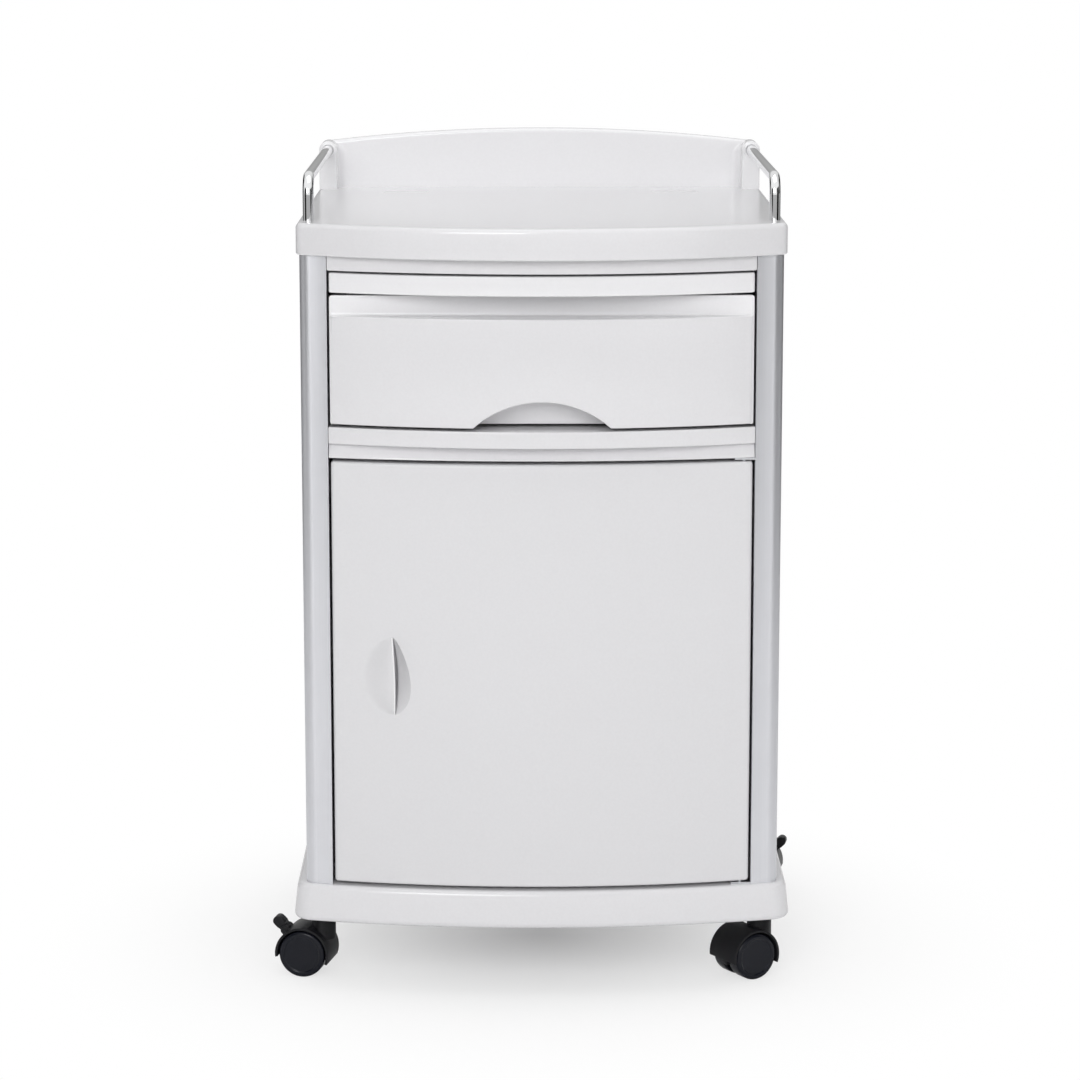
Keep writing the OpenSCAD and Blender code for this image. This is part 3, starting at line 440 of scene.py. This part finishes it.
rib_row, rib_t = rib_tree(), 0.003
ribs_low, ribs_top = base_low[2] + 8, ceiling + 1
rib_mid, rib_tall = (ribs_low + ribs_top) / 2 * MM, (ribs_top - ribs_low) * MM
ribs_wide, ribs_deep = 2 * (base_half - 14) * MM, 0.43
for name, start, step, size in (
        ("base_ribs_across", (0, -0.132, rib_mid), (0, 0.161, 0), (ribs_wide, rib_t, rib_tall)),
        ("base_ribs_along", (-0.1115, 0.017, rib_mid), (0.1115, 0, 0), (rib_t, ribs_deep, rib_tall))):
    ribs = grown(name, rib_row, abs_white, Count=3, Start=start, Step=step, Size=size)
    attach(ribs, "cabinet")

# ---- Casters ----
# Bought-in twin-wheel casters in black nylon: a hood that swivels on a zinc-plated
# stem, a wheel on each side of its web, and on two of them a brake pedal. The solids'
# own shapes get moulded edges, and the wheels a glossier finish.

nylon_black = plastic("caster_nylon", (0.007, 0.007, 0.0085), (0.011, 0.011, 0.013), peel=900.0, smooth=0.30,
                      rough=0.46, height=0.00006, dust=0.18, drift=0.8, gloss=0.22)
wheel_black = plastic("wheel_black", (0.0055, 0.0065, 0.011), (0.008, 0.009, 0.014), peel=500.0, smooth=0.10,
                      rough=0.17, height=0.000012, dust=0.14, drift=0.8, gloss=0.24)


def metal_group():
    """Shared surface of drawn or plated metal: fine lines along one axis and faint staining."""
    group = bpy.data.node_groups.new("drawn_lines", "ShaderNodeTree")
    given, out = add_sockets(group, (
        ("Tone", "Color", (0.6, 0.6, 0.6, 1)), ("Shade", "Color", (0.5, 0.5, 0.5, 1)),
        ("Stretch", "Vector", (1.0, 1.0, 0.02)), ("Line Scale", "Float", 900.0), ("Smooth", "Float", 0.25),
        ("Rough", "Float", 0.4)), surface_outputs)
    place = group.nodes.new("ShaderNodeTexCoord").outputs["Object"]
    pulled = wire(group, "ShaderNodeVectorMath", {"operation": "MULTIPLY"},
                  **{"0": place, "1": given["Stretch"]})
    lines = wire(group, "ShaderNodeTexNoise", Vector=pulled.outputs[0], Scale=given["Line Scale"],
                 Detail=3.0).outputs["Fac"]
    cloud = wire(group, "ShaderNodeTexNoise", Vector=place, Scale=18.0, Detail=4.0).outputs["Fac"]
    tone = mixed_colour(group, reckon(group, "MULTIPLY", lines, cloud), given["Tone"], given["Shade"])
    rough = ramp(group, lines, 0.3, 0.7, given["Smooth"], given["Rough"])
    for name, value in (("Color", tone), ("Roughness", rough), ("Height", lines)):
        group.links.new(value, out[name])
    return group


drawn_lines = metal_group()


def metal(name, tone, shade, stretch=(1, 1, 1), scale=600.0, smooth=0.25, rough=0.4, height=0.00001,
          anisotropic=0.0):
    """Solid or plated metal with its own tone, drawing lines and polish."""
    return dressed(name, drawn_lines, {
        "Tone": (*tone, 1), "Shade": (*shade, 1), "Stretch": stretch, "Line Scale": scale, "Smooth": smooth,
        "Rough": rough}, height, Metallic=1.0, Anisotropic=anisotropic)


zinc = metal("zinc_steel", (0.62, 0.63, 0.65), (0.50, 0.51, 0.53), scale=300.0, smooth=0.29, rough=0.42)
flat_within = 0.6


def softened(node, material, body, width, sharp=32):
    """A copy of a solid's mesh with its doubles merged and its sharp edges rounded a little."""
    work = bmesh.new()
    work.from_mesh(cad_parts[node].data)
    bmesh.ops.remove_doubles(work, verts=work.verts, dist=2e-6)
    bmesh.ops.dissolve_limit(work, angle_limit=math.radians(flat_within), verts=work.verts, edges=work.edges)
    edges = [e for e in work.edges if len(e.link_faces) == 2 and e.calc_face_angle(0) > math.radians(sharp)]
    bmesh.ops.bevel(work, geom=edges, offset=width * MM, segments=2, profile=0.5, affect="EDGES",
                    clamp_overlap=True)
    mesh = bpy.data.meshes.new(node)
    work.to_mesh(mesh)
    work.free()
    mesh.shade_smooth()
    mesh.set_sharp_from_angle(angle=math.radians(sharp))
    mesh.materials.append(material)
    piece = bpy.data.objects.new(node + "_finished", mesh)
    scene.collection.objects.link(piece)
    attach(piece, body)
    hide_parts(node)


def painted(node, material):
    """A solid that stays as it is and only gets its finish."""
    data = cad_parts[node].data
    data.materials.clear()
    data.materials.append(material)


corners = ("front_left", "front_right", "rear_left", "rear_right")
for corner in corners:
    softened(f"hood_{corner}", nylon_black, f"caster_{corner}", width=0.5)
    painted(f"axle_{corner}", zinc)
    for side in "ab":
        softened(f"wheel_{corner}_{side}", wheel_black, f"roller_{corner}_{side}", width=0.3)
for corner in ("front_left", "rear_right"):
    softened(f"pedal_{corner}", nylon_black, f"brake_{corner}", width=0.6)
painted("caster_stems", zinc)

# ---- Columns ----
# Four corner columns, extruded in aluminium with a round outer edge and slots for the
# panels, then satin anodised: fine die lines run up them.

column_alu = metal("column_alu", (0.80, 0.805, 0.835), (0.72, 0.725, 0.76), stretch=(1, 1, 0.004),
                   scale=1400.0, smooth=0.38, rough=0.50, height=0.000004, anisotropic=0.35)
for corner in corners:
    row, side = corner.split("_")
    softened(f"{row}_column_{side}", column_alu, "cabinet", width=0.35, sharp=20)

# ---- Panels ----
# Matt pale ABS sheets for the sides, the back, the partition and the shelf. The outer
# ones slide into the columns' slots, and each has a shallow field that stiffens it.

panel_grey = plastic("panel_grey", (0.70, 0.70, 0.715), (0.66, 0.66, 0.675), peel=1500.0, smooth=0.42,
                     rough=0.56, height=0.00005, dust=0.15)
for node in ("side_panel_left", "side_panel_right", "back_panel", "partition", "inner_shelf"):
    softened(node, panel_grey, "cabinet", width=0.4)
nylon_pale = plastic("guide_plastic", (0.66, 0.66, 0.67), (0.60, 0.60, 0.61), peel=500.0, smooth=0.35,
                     rough=0.5)
for node in ("board_guides", "slide_blocks", "magnet_catch"):
    painted(node, nylon_pale)
for node in ("shelf_pegs", "hinge_plates", "drawer_slides"):
    painted(node, zinc)

# ---- Back screws ----
# Zinc-plated pan-head screws with a cross recess. Five in each rear column go through
# into the back panel's edge and hold the whole frame square.

head_r, head_tall, cross_arm, cross_half, head_steps = 3.4, 1.7, 1.7, 0.42, 12


def screw_head():
    """A pan head that faces +Y from the origin, with a real cross recess in it."""
    notch = math.atan2(cross_half, cross_arm)
    within = [math.pi * i / (2 * head_steps) for i in range(head_steps)] + [notch, math.pi / 2 - notch]
    turns = sorted({round(q * math.pi / 2 + a, 6) for q in range(4) for a in within})

    def cross(a):
        """Distance from the middle to the recess's edge."""
        a = abs((a + math.pi / 4) % (math.pi / 2) - math.pi / 4)
        in_arm = cross_arm * math.tan(a) <= cross_half * 1.0001
        return cross_arm / math.cos(a) if in_arm else cross_half / math.sin(a)

    dome = [(1, 0), (1, 0.3), (0.95, 0.55), (0.85, 0.78), (0.72, 0.93), (0.62, 1)]
    recess = ((1, 1), (0.92, 0.3), (0.05, 0.22))
    rings = [[(-head_r * k * math.cos(a), head_tall * h, head_r * k * math.sin(a)) for a in turns]
             for k, h in dome]
    rings += [[(-cross(a) * k * math.cos(a), head_tall * h, cross(a) * k * math.sin(a)) for a in turns]
              for k, h in recess]
    return stacked(rings)


def screw_tree():
    """Node tree: a row of screws, the given head set at each point of a line."""
    tree = bpy.data.node_groups.new("screw_row", "GeometryNodeTree")
    given, out = add_sockets(tree, (
        ("Count", "Int", None), ("Start", "Vector", None), ("Step", "Vector", None), ("Head", "Object", None),
        ("Seed", "Int", None), ("Finish", "Material", None)), (("Screws", "Geometry"),))
    line = wire(tree, "GeometryNodeMeshLine", Count=given["Count"], Offset=given["Step"])
    tree.links.new(given["Start"], line.inputs["Start Location"])
    head = wire(tree, "GeometryNodeObjectInfo", Object=given["Head"])
    turn = tree.nodes.new("FunctionNodeRandomValue")
    turn.data_type = "FLOAT_VECTOR"
    turn.inputs[1].default_value = (0, 3.14, 0)
    tree.links.new(given["Seed"], turn.inputs["Seed"])
    driven = wire(tree, "GeometryNodeInstanceOnPoints", Points=line.outputs["Mesh"],
                  Instance=head.outputs["Geometry"], Rotation=turn.outputs["Value"])
    real = wire(tree, "GeometryNodeRealizeInstances", Geometry=driven.outputs["Instances"])
    finished = wire(tree, "GeometryNodeSetMaterial", Geometry=real.outputs["Geometry"],
                    Material=given["Finish"])
    tree.links.new(finished.outputs["Geometry"], out["Screws"])
    return tree


screw_row, screw_x, screw_low, screw_step = screw_tree(), 0.2155, 0.155, 0.1325
pan_head = finish_mesh("pan_head", screw_head(), zinc, sharp=40)
column_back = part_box("rear_column_left")[1][1]
for name, side, seed in (("back_screws_left", -1, 3), ("back_screws_right", 1, 8)):
    screws = grown(name, screw_row, zinc, Count=5, Start=(side * screw_x, column_back, screw_low),
                   Step=(0, 0, screw_step), Head=pan_head, Seed=seed)
    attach(screws, "cabinet")
bpy.data.objects.remove(pan_head)

# ---- Table top ----
# One white ABS moulding: a flat table with a soft upper edge all round, a bowed front
# and two short ridges that keep things off the back board.

top_low, top_high = (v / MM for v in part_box("top_tray"))
table_z, top_corner_y, top_bow, top_corner, top_heel = 774.5, -184, 64, 13, 5
top_r_low, top_r_high = 2, 5.2
ridge_x, ridge_half, ridge_tall, ridge_wide = 144, 25, 0.8, 2.5
ridge_y = top_high[1] - 75


def top_ring(z, inset):
    return [upright(p, z) for p in bowed_outline(top_high[0], top_corner_y, top_bow, top_high[1], top_corner,
                                                 heel=top_heel, inset=inset, steps=80)]


# Heights and insets down the hollow's wall, then up the outside
top_inner = [(table_z - 5, 9), (table_z - 5, 8), (table_z - 7, 5.5), (top_low[2] + 1, 5),
             (top_low[2] + 0.2, 4.6)]
top_outer = rim_levels(top_low[2], table_z, top_r_low, top_r_high, lip=1.2)[1:]
top_shell = stacked([top_ring(z, inset) for z, inset in top_inner + top_outer])


def ridge(x0, x1):
    """Low ridge along X that dies away at both ends."""
    steps, ends, least = 8, 5, 0.02
    sizes = [(x0 + ridge_wide * (1 - math.cos(t)), math.sin(t)) for t in quarter(ends)]
    sizes += [(x1 - (x - x0), s) for x, s in reversed(sizes)]
    sections = []
    for x, s in sizes:
        s = max(s, least)
        arc = [(x, ridge_y + ridge_wide * s * math.cos(a), table_z + ridge_tall * s * math.sin(a))
               for a in (math.pi * k / steps for k in range(steps + 1))]
        sections.append(arc + [(x, ridge_y + side * ridge_wide * s, table_z - 1) for side in (-1, 1)])
    return stacked(sections)


# Blocks fill the table's rounded edge under the back board and its posts
pads = []
for x0, x1, y0 in ((-238, -219, 208), (-219, 219, 236.5), (219, 238, 208)):
    pad = [(x0, y0), (x1, y0), (x1, 246), (x0, 246)]
    pads.append(stacked([[upright(p, z) for p in pad] for z in (table_z - 7, table_z)]))
ridges = [ridge(x - ridge_half, x + ridge_half) for x in (-ridge_x, ridge_x)]
top_piece = finish_mesh("top_shell", joined(top_shell, *ridges, *pads), abs_white)
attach(top_piece, "cabinet")
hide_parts("top_tray")

# ---- Back board ----
# A white ABS wall with an arched top, moulded with a post at each end. Each post's
# round head has a socket with a raised ring that takes a rail's end, and a hollow
# fillet runs down the inner corner.

back_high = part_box("back_board")[1] / MM
wall_front, wall_back, wall_r, wall_corner = back_high[1] - 12, back_high[1], 4, 10
post_x, post_half, post_front = 228.5, 9.5, 208
arch_drop, wall_foot, head_z, fillet_r = 15, table_z - 0.2, 816.5, 10
arch_end = back_high[2] - arch_drop


def wall_ring(y, inset):
    """The wall's outline at y, drawn as a plan that is stood up. Its foot stays level."""
    plan = bowed_outline(post_x + post_half, -arch_end, arch_drop, -wall_foot, wall_corner, heel=0.6,
                         inset=inset, steps=72, turn=8)
    near_foot = -wall_foot - inset - 0.7
    return [(x, y, -min(v + (inset if v > near_foot else 0), -wall_foot)) for x, v in plan]


def post_ring(side, y, inset):
    """A post's outline at y: round at the head, square at the foot."""
    half, steps = post_half - inset, 24
    arc = [(post_x * side + half * math.cos(a), head_z + half * math.sin(a)) for a in
           (math.pi * i / steps for i in range(steps + 1))]
    feet = [(post_x * side - half, table_z - 0.5), (post_x * side + half, table_z - 0.5)]
    return [(x, y, z) for x, z in arc + feet]


def turned_ring(profile, centre, steps=40):
    """Closed ring: a profile of (radius, y) pairs turned round the Y axis through centre."""
    cx, cy, cz = centre
    rings = [[(r * math.cos(a) + cx, y + cy, r * math.sin(a) + cz)
              for a in (2 * math.pi * i / steps for i in range(steps))] for r, y in profile]
    return stacked(rings + rings[:1], ends=False)


# A lighter copy of abs_white: painted light. It makes the back board, the slide-out board and the drawer's
# plate read brighter than the same white ABS, in place of light falling or bouncing onto them.
abs_white_painted_light = plastic("abs_white_painted_light", (0.865, 0.861, 0.875), (0.84, 0.836, 0.85), peel=380.0, smooth=0.17,
                     rough=0.24, height=0.000018)
# Radius and Y of the raised ring round a socket
collar = [(5.65, 6), (5.65, -0.2), (5.8, -0.9), (6.3, -1.3), (7.2, -1.3), (7.9, -0.9), (8.2, 0), (8.2, 6)]
parts = [stacked([wall_ring(y, inset) for y, inset in rim_levels(wall_front, wall_back, wall_r, wall_r)])]
for side in (-1, 1):
    levels = rim_levels(post_front, wall_front + 1.5, 1.2, 0.05, lip=0.8, steps=4)
    parts.append(stacked([post_ring(side, y, inset) for y, inset in levels]))
    inner_x = side * (post_x - post_half)
    curve = [(inner_x - side * fillet_r + side * fillet_r * math.sin(a),
              wall_front - fillet_r + fillet_r * math.cos(a)) for a in quarter(8)]
    foot = [(inner_x + side * 2, wall_front - fillet_r), (inner_x + side * 2, wall_front + 2),
            (inner_x - side * fillet_r, wall_front + 2)]
    levels = ((table_z - 0.5, 1), (head_z - 4, 1), (head_z + 2, 0.55), (head_z + 5, 0.1))
    parts.append(stacked([[(inner_x + (x - inner_x) * k, wall_front + (y - wall_front) * k, z)
                           for x, y in foot + curve] for z, k in levels]))
    parts.append(turned_ring(collar, (side * post_x, post_front, head_z)))
# The wall is given the lighter copy of the white: painted light.
back_piece = finish_mesh("back_board_shell", joined(*parts), abs_white_painted_light)
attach(back_piece, "cabinet")
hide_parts("back_board")

# ---- Guard rails ----
# Chromed steel tubes, bent once: each stands in the table's corner, turns back over a
# tight bend and runs level into the socket of the back board's post.

rail_chrome = metal("rail_chrome", (0.86, 0.865, 0.87), (0.80, 0.805, 0.815), scale=90.0, smooth=0.035,
                    rough=0.085, height=0.000002)
rail_x, rail_y, rail_r, bend_r = 228.5, -157.0, 5.5, 17.0


def tube(points, r, steps=28):
    """Round tube along points, its rings square to the path."""
    rings = []
    points = [Vector(p) for p in points]
    across = Vector((1, 0, 0))
    for i, p in enumerate(points):
        ahead = (points[min(i + 1, len(points) - 1)] - points[max(i - 1, 0)]).normalized()
        up = ahead.cross(across).normalized()
        rings.append([tuple(p + r * (math.cos(t) * across + math.sin(t) * up)) for t in
                      (2 * math.pi * k / steps for k in range(steps))])
    return stacked(rings)


for name, side in (("left", -1), ("right", 1)):
    line = [(rail_y, table_z - 10), (rail_y, table_z + 2)]
    line += [(rail_y + bend_r - bend_r * math.cos(t), head_z - bend_r + bend_r * math.sin(t))
             for t in quarter(20)]
    line += [(post_front - 2, head_z), (post_front + 10, head_z)]
    rail = finish_mesh(f"rail_{name}", tube([(side * rail_x, y, z) for y, z in line], rail_r), rail_chrome)
    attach(rail, "cabinet")
    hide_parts(f"guard_rail_{name}")

# ---- Fixed fronts ----
# The bowed strip under the table, and the rail between drawer and door with its
# prouder lip over a slanted band. Both are ABS mouldings screwed between the columns.

column_in, front_half = 210, 207.5
front_corner_y, board_bow, drawer_bow = -179, 51, 48
bar_corner, bar_heel, bar_steps, bar_turn = 0.8, 0.3, 80, 3


def bowed_bar(half, bow, back_y, z0, z1, r_low, r_high):
    """Bowed bar with rounded long edges."""
    rings = []
    for z, inset in rim_levels(z0, z1, r_low, r_high, lip=0.6, steps=4):
        plan = bowed_outline(half, front_corner_y, bow, back_y, bar_corner, heel=bar_heel, inset=inset,
                             steps=bar_steps, turn=bar_turn)
        rings.append([upright(p, z) for p in plan])
    return stacked(rings)


strip_low, strip_high = (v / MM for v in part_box("top_strip"))
strip_bar = bowed_bar(column_in - 0.6, board_bow, strip_high[1], strip_low[2] - 0.6, strip_high[2] - 0.2,
                      1.2, 0)
strip = finish_mesh("top_strip_shell", strip_bar, abs_white)
divider_low, divider_high = (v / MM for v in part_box("divider_rail"))
divider_half, lip_z = column_in - 0.5, 558.5
# Height, corner's Y and bow up the band
band = [(divider_low[2], -180.4, 32.4), (divider_low[2] + 0.6, -181, 33), (divider_low[2] + 3, -180.6, 32.4),
        (lip_z - 5, -178.6, 30), (lip_z - 1, -177.6, 28.5), (lip_z + 0.5, -177, 28)]
lip_bar = bowed_bar(divider_half, drawer_bow, divider_high[1], lip_z, divider_high[2], 1.1, 1.2)
band_bar = stacked([[upright(p, z) for p in bowed_outline(divider_half, y, bow, divider_high[1], bar_corner,
                                                          heel=bar_heel, steps=bar_steps, turn=bar_turn)]
                    for z, y, bow in band])
divider = finish_mesh("divider_shell", joined(lip_bar, band_bar), abs_white)
for piece, node in ((strip, "top_strip"), (divider, "divider_rail")):
    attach(piece, "cabinet")
    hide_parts(node)

# ---- Slide-out board ----
# A writing and meal board in white ABS with a bowed, well rounded front edge and ribs
# under it. It runs in grooved guides on both sides.

board_low, board_high = (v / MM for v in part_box("slide_out_board"))
board_corner, board_heel = 4, 3


def board_ring(z, inset):
    return [upright(p, z) for p in bowed_outline(front_half, front_corner_y, board_bow, board_high[1],
                                                 board_corner, heel=board_heel, inset=inset, steps=96)]


board_inner = [(board_low[2] + 11, 16.6), (board_low[2] + 11, 16), (board_low[2] + 0.6, 15.6),
               (board_low[2], 15)]
board_outer = rim_levels(board_low[2], board_high[2] + 0.8, 1.3, 1.6)[1:]
board_shell = stacked([board_ring(z, inset) for z, inset in board_inner + board_outer])
# The board and its ribs are given the lighter copy of the white: painted light.
board_piece = finish_mesh("board_shell", board_shell, abs_white_painted_light)
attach(board_piece, "board")
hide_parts("slide_out_board")
rib_mid, rib_tall = (board_low[2] + 6.5) * MM, 0.010
for name, count, start, step, size in (
        ("board_ribs_across", 4, (0, -0.13, rib_mid), (0, 0.085, 0), (0.380, rib_t, rib_tall)),
        ("board_ribs_along", 3, (-0.095, -0.012, rib_mid), (0.095, 0, 0), (rib_t, 0.40, rib_tall))):
    ribs = grown(name, rib_row, abs_white_painted_light, Count=count, Start=start, Step=step, Size=size)
    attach(ribs, "board")

# ---- Drawer ----
# A flat ABS plate carries a bowed skin whose top edge is the ledge of the finger
# groove. An arched hand hold is cut through the skin's foot, and the plate shows
# behind it. Behind the plate hangs the drawer box on steel runners.

face_low, face_high = (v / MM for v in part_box("drawer_plate"))
plate_y, drawer_z, ledge_z, skin_steps = face_low[1], face_low[2], 685, 206
plate_top, plate_corner, ledge_fillet = face_high[2] + 0.8, 3, 2.6
arch_half, arch_rise = 67, 26
arch_r = (arch_half ** 2 + arch_rise ** 2) / (2 * arch_rise)
arch_z = drawer_z + arch_rise - arch_r


def plate_ring(y, inset):
    """The flat plate's outline at y."""
    r, steps = max(plate_corner - inset, 0.3), 6
    x0, x1, z0, z1 = -front_half + inset, front_half - inset, drawer_z + inset, plate_top - inset
    ring = []
    for cx, cz, first in ((x1 - r, z0 + r, -90), (x1 - r, z1 - r, 0), (x0 + r, z1 - r, 90),
                          (x0 + r, z0 + r, 180)):
        angles = [math.radians(first + 90 * i / steps) for i in range(steps + 1)]
        ring += [(cx + r * math.cos(a), y, cz + r * math.sin(a)) for a in angles]
    return ring


def arch_foot(x):
    """Height of the skin's foot at x: level, and raised over the hand hold."""
    if abs(x) >= arch_half:
        return drawer_z
    return max(arch_z + math.sqrt(arch_r ** 2 - x ** 2), drawer_z)


def skin_columns(half, back_y):
    """Closed bowed skin, built as upright sections from one end to the other."""
    corner, turn = 1.0, 3
    levels = rim_levels(drawer_z, ledge_z, 1.6, 1.3, steps=5)
    rows = []
    for z, inset in levels:
        plan = bowed_outline(half, front_corner_y, drawer_bow, back_y, corner, heel=0.3, inset=inset,
                             steps=skin_steps, turn=turn)
        start = skin_steps + 1 + turn + heel_steps + 1
        rows.append((z, plan[start:] + plan[:start]))
    middle = (drawer_z + ledge_z) / 2
    columns = []
    for i, (x, _) in enumerate(rows[0][1]):
        column = [(x, back_y, arch_foot(x))]
        for z, plan in rows:
            px, py = plan[i]
            column.append((px, py, z - drawer_z + arch_foot(px) if z < middle else z))
        columns.append(column + [(x, back_y, ledge_z)])
    return stacked(columns)


def ledge_curve(half, steps=6):
    """Small hollow fillet where the ledge meets the flat plate."""
    r, y, z = ledge_fillet, plate_y, ledge_z
    ring = [(y - r + r * math.sin(t), z + r * (1 - math.cos(t))) for t in quarter(steps)]
    ring += [(y + 0.4, z + r), (y + 0.4, z - 1), (y - r, z - 1)]
    return stacked([[(x, py, pz) for py, pz in ring] for x in (-half, -half / 3, half / 3, half)])


plate_levels = rim_levels(plate_y, face_high[1], 1.0, 0.5, lip=0.8, steps=4)
plate = joined(stacked([plate_ring(y, inset) for y, inset in plate_levels]), ledge_curve(front_half - 2))
drawer_piece = finish_mesh("drawer_face", skin_columns(front_half - 0.2, plate_y + 0.6), abs_white)
# The plate is given the lighter copy of the white: painted light against the shade cast by the board above.
plate_piece = finish_mesh("drawer_plate_shell", plate, abs_white_painted_light)
for piece, node in ((drawer_piece, "drawer_front"), (plate_piece, "drawer_plate")):
    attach(piece, "drawer")
    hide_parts(node)
softened("drawer_box", panel_grey, "drawer", width=0.5)
for node in ("drawer_runners", "drawer_screws"):
    painted(node, zinc)

# ---- Door ----
# A bowed ABS skin with a flat liner behind it. The pull is moulded in the skin: half
# a shallow bulge with a free lip, and a dish under it that runs out past the lip.

door_low, door_high = (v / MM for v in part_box("door_skin"))
door_corner_y, door_bow, door_back, door_corner, door_wall = -181, 33, door_high[1], 4, 4
pull_x, pull_z, pull_tall, pull_rows = -146.5, 327.0, 39.0, 64
pull_turn = math.asin(pull_x / bow_radius(door_bow))
lip_swell, lip_slant, lip_r = 2.4, 0.026, 0.75
cap_reach, cap_rise, cap_steps, cap_wall = 31.0, 9.3, 24, 2.3
dish_reach, dish_deep, dish_steps, dish_droop = 16.0, 13.0, 36, 0.35


def on_door(u, v, out):
    """Point at u across and v up from the pull's middle, standing out of the bowed skin."""
    x = pull_x + u * math.cos(pull_turn)
    y = bow_front(x, door_corner_y, door_bow)
    turn = math.asin(x / bow_radius(door_bow))
    return (x + out * math.sin(turn), y - out * math.cos(turn), pull_z + v)


def fullness(v):
    """1 at the pull's middle, 0 at its tips."""
    return max(1 - (v / pull_tall) ** 2, 0)


def pull_edges(v):
    """Left edge of the bulge, the lip and the dish's right edge at height v."""
    t, slant = fullness(v), lip_slant * v
    low = 1 - dish_droop * v / pull_tall
    return -cap_reach * math.sqrt(t), lip_swell * t - slant, dish_reach * t ** 0.62 * low - slant


def bulge(v, s):
    """Height of the bulge from its left edge, s = 0, to the lip, s = 1."""
    return cap_rise * fullness(v) ** (1.0 - 0.45 * s) * math.sin(math.pi / 2 * s) ** 1.7


def dish_fall(s):
    """Part of the dish's depth at s: a slope from its right edge, s = 0, then the slot under the lip."""
    slope, slot = min(s / 0.98, 1), min(max((s - 0.98) / 0.18, 0), 1)
    return 0.5 * (1 - (1 - slope) ** 1.4) + 0.5 * slot - 0.6 * max(s - 1.4, 0) ** 2


def open_sheet(name, rows, flipped=False):
    """Open mesh through rows of the same number of points, in millimetres."""
    wide = len(rows[0])
    faces = [(r * wide + k, r * wide + k + 1, (r + 1) * wide + k + 1, (r + 1) * wide + k)
             for r in range(len(rows) - 1) for k in range(wide - 1)]
    if flipped:
        faces = [(a, d, c, b) for a, b, c, d in faces]
    mesh = bpy.data.meshes.new(name)
    mesh.from_pydata([tuple(c * MM for c in p) for row in rows for p in row], [], faces)
    return mesh


def cut_away(mesh, cutter):
    """mesh with the cutter's shape taken out of it."""
    whole = bpy.data.objects.new("whole", mesh)
    tool = bpy.data.objects.new("tool", cutter)
    for o in (whole, tool):
        scene.collection.objects.link(o)
        work = bmesh.new()
        work.from_mesh(o.data)
        bmesh.ops.remove_doubles(work, verts=work.verts, dist=1e-7)
        bmesh.ops.recalc_face_normals(work, faces=work.faces)
        work.to_mesh(o.data)
        work.free()
    cut = whole.modifiers.new("cut", "BOOLEAN")
    cut.operation, cut.object, cut.solver = "DIFFERENCE", tool, "EXACT"
    view = bpy.context.evaluated_depsgraph_get()
    made = bpy.data.meshes.new_from_object(whole.evaluated_get(view), depsgraph=view)
    for o in (whole, tool):
        bpy.data.objects.remove(o)
    return made


def door_ring(z, inset):
    return [upright(p, z) for p in bowed_outline(front_half, door_corner_y, door_bow, door_back, door_corner,
                                                 heel=0.4, inset=inset, steps=140, turn=6)]


def hollow_ring(z):
    return [upright(p, z) for p in bowed_outline(front_half - door_wall, door_corner_y + door_wall, door_bow,
                                                 door_back + 5, 3, heel=0.4, steps=60, turn=3)]


heights = [-pull_tall * math.cos(math.pi * i / pull_rows) for i in range(pull_rows + 1)]
hole = [on_door(pull_edges(v)[0], v, 0) for v in heights]
hole += [on_door(pull_edges(v)[2], v, 0) for v in reversed(heights[1:-1])]
door_block = stacked([door_ring(z, inset) for z, inset in rim_levels(door_low[2], door_high[2], 3, 3)])
hollow = stacked([hollow_ring(z) for z in (door_low[2] + 3.5, door_high[2] - 3.5)])
through = stacked([[(x, y + dy, z) for x, y, z in hole] for dy in (-8, 16)])
door_shell = cut_away(cut_away(door_block, hollow), through)

# Rows across the pull, from its lower tip up: the bulge out to the lip, round the lip
# and back along the bulge's inner face, and the dish from its right edge to the left
cap_rows, dish_rows = [], []
for v in heights:
    left, lip, right = pull_edges(v)
    t = fullness(v)
    row = [on_door(left + (lip - left) * s, v, bulge(v, s))
           for s in (k / cap_steps for k in range(cap_steps + 1))]
    row += [on_door(lip + across * min(t * 4, 1), v, bulge(v, 1) + out * min(t * 3, 1))
            for across, out in ((0.35, -0.35), (0.45, -0.9), (0.3, -1.5), (-0.2, -2.1))]
    row += [on_door(left + (lip - left) * s, v, bulge(v, s) - cap_wall * min(t * 3, 1))
            for s in (1 - k / 10 for k in range(1, 9))]
    cap_rows.append(row)
    row = []
    for k in range(dish_steps + 1):
        s = 2.4 * k / dish_steps
        across = max(right - (right - lip) * s, left * 0.9)
        row.append(on_door(across, v, -dish_deep * t ** 0.8 * dish_fall(s)))
    dish_rows.append(row)

door_white = plastic("door_white", (0.742, 0.738, 0.753), (0.716, 0.712, 0.727), peel=380.0, smooth=0.285,
                     rough=0.33, height=0.000018)
# A brighter, glossier white for the bead along the lip: a painted highlight on the lip's edge.
lip_painted_highlight = plastic("lip_painted_highlight", (0.93, 0.928, 0.935), (0.90, 0.898, 0.905), peel=380.0, smooth=0.10,
                    rough=0.16, height=0.00001)
door_piece = finish_mesh("door_shell", door_shell, door_white)
cap_sheet = open_sheet("pull_bulge", cap_rows)
dish_sheet = open_sheet("pull_dish", dish_rows, flipped=True)
bulge_piece = finish_mesh("door_pull_bulge", cap_sheet, door_white, sharp=50)
dish_piece = finish_mesh("door_pull_dish", dish_sheet, door_white, sharp=60)
lip_heights = [0.985 * pull_tall * math.sin(math.pi / 2 * i / 30) for i in range(-30, 31)]
lip_line = [on_door(pull_edges(v)[1] - 0.45, v, bulge(v, 1) - 0.25) for v in lip_heights]
# The bead along the lip takes the brighter white: a painted highlight.
lip_piece = finish_mesh("door_pull_lip", tube(lip_line, lip_r, steps=16), lip_painted_highlight)
for piece in (door_piece, bulge_piece, dish_piece, lip_piece):
    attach(piece, "door")
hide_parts("door_skin")
softened("door_liner", panel_grey, "door", width=0.4)
for node in ("door_pins", "strike_plate"):
    painted(node, zinc)

low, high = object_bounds()
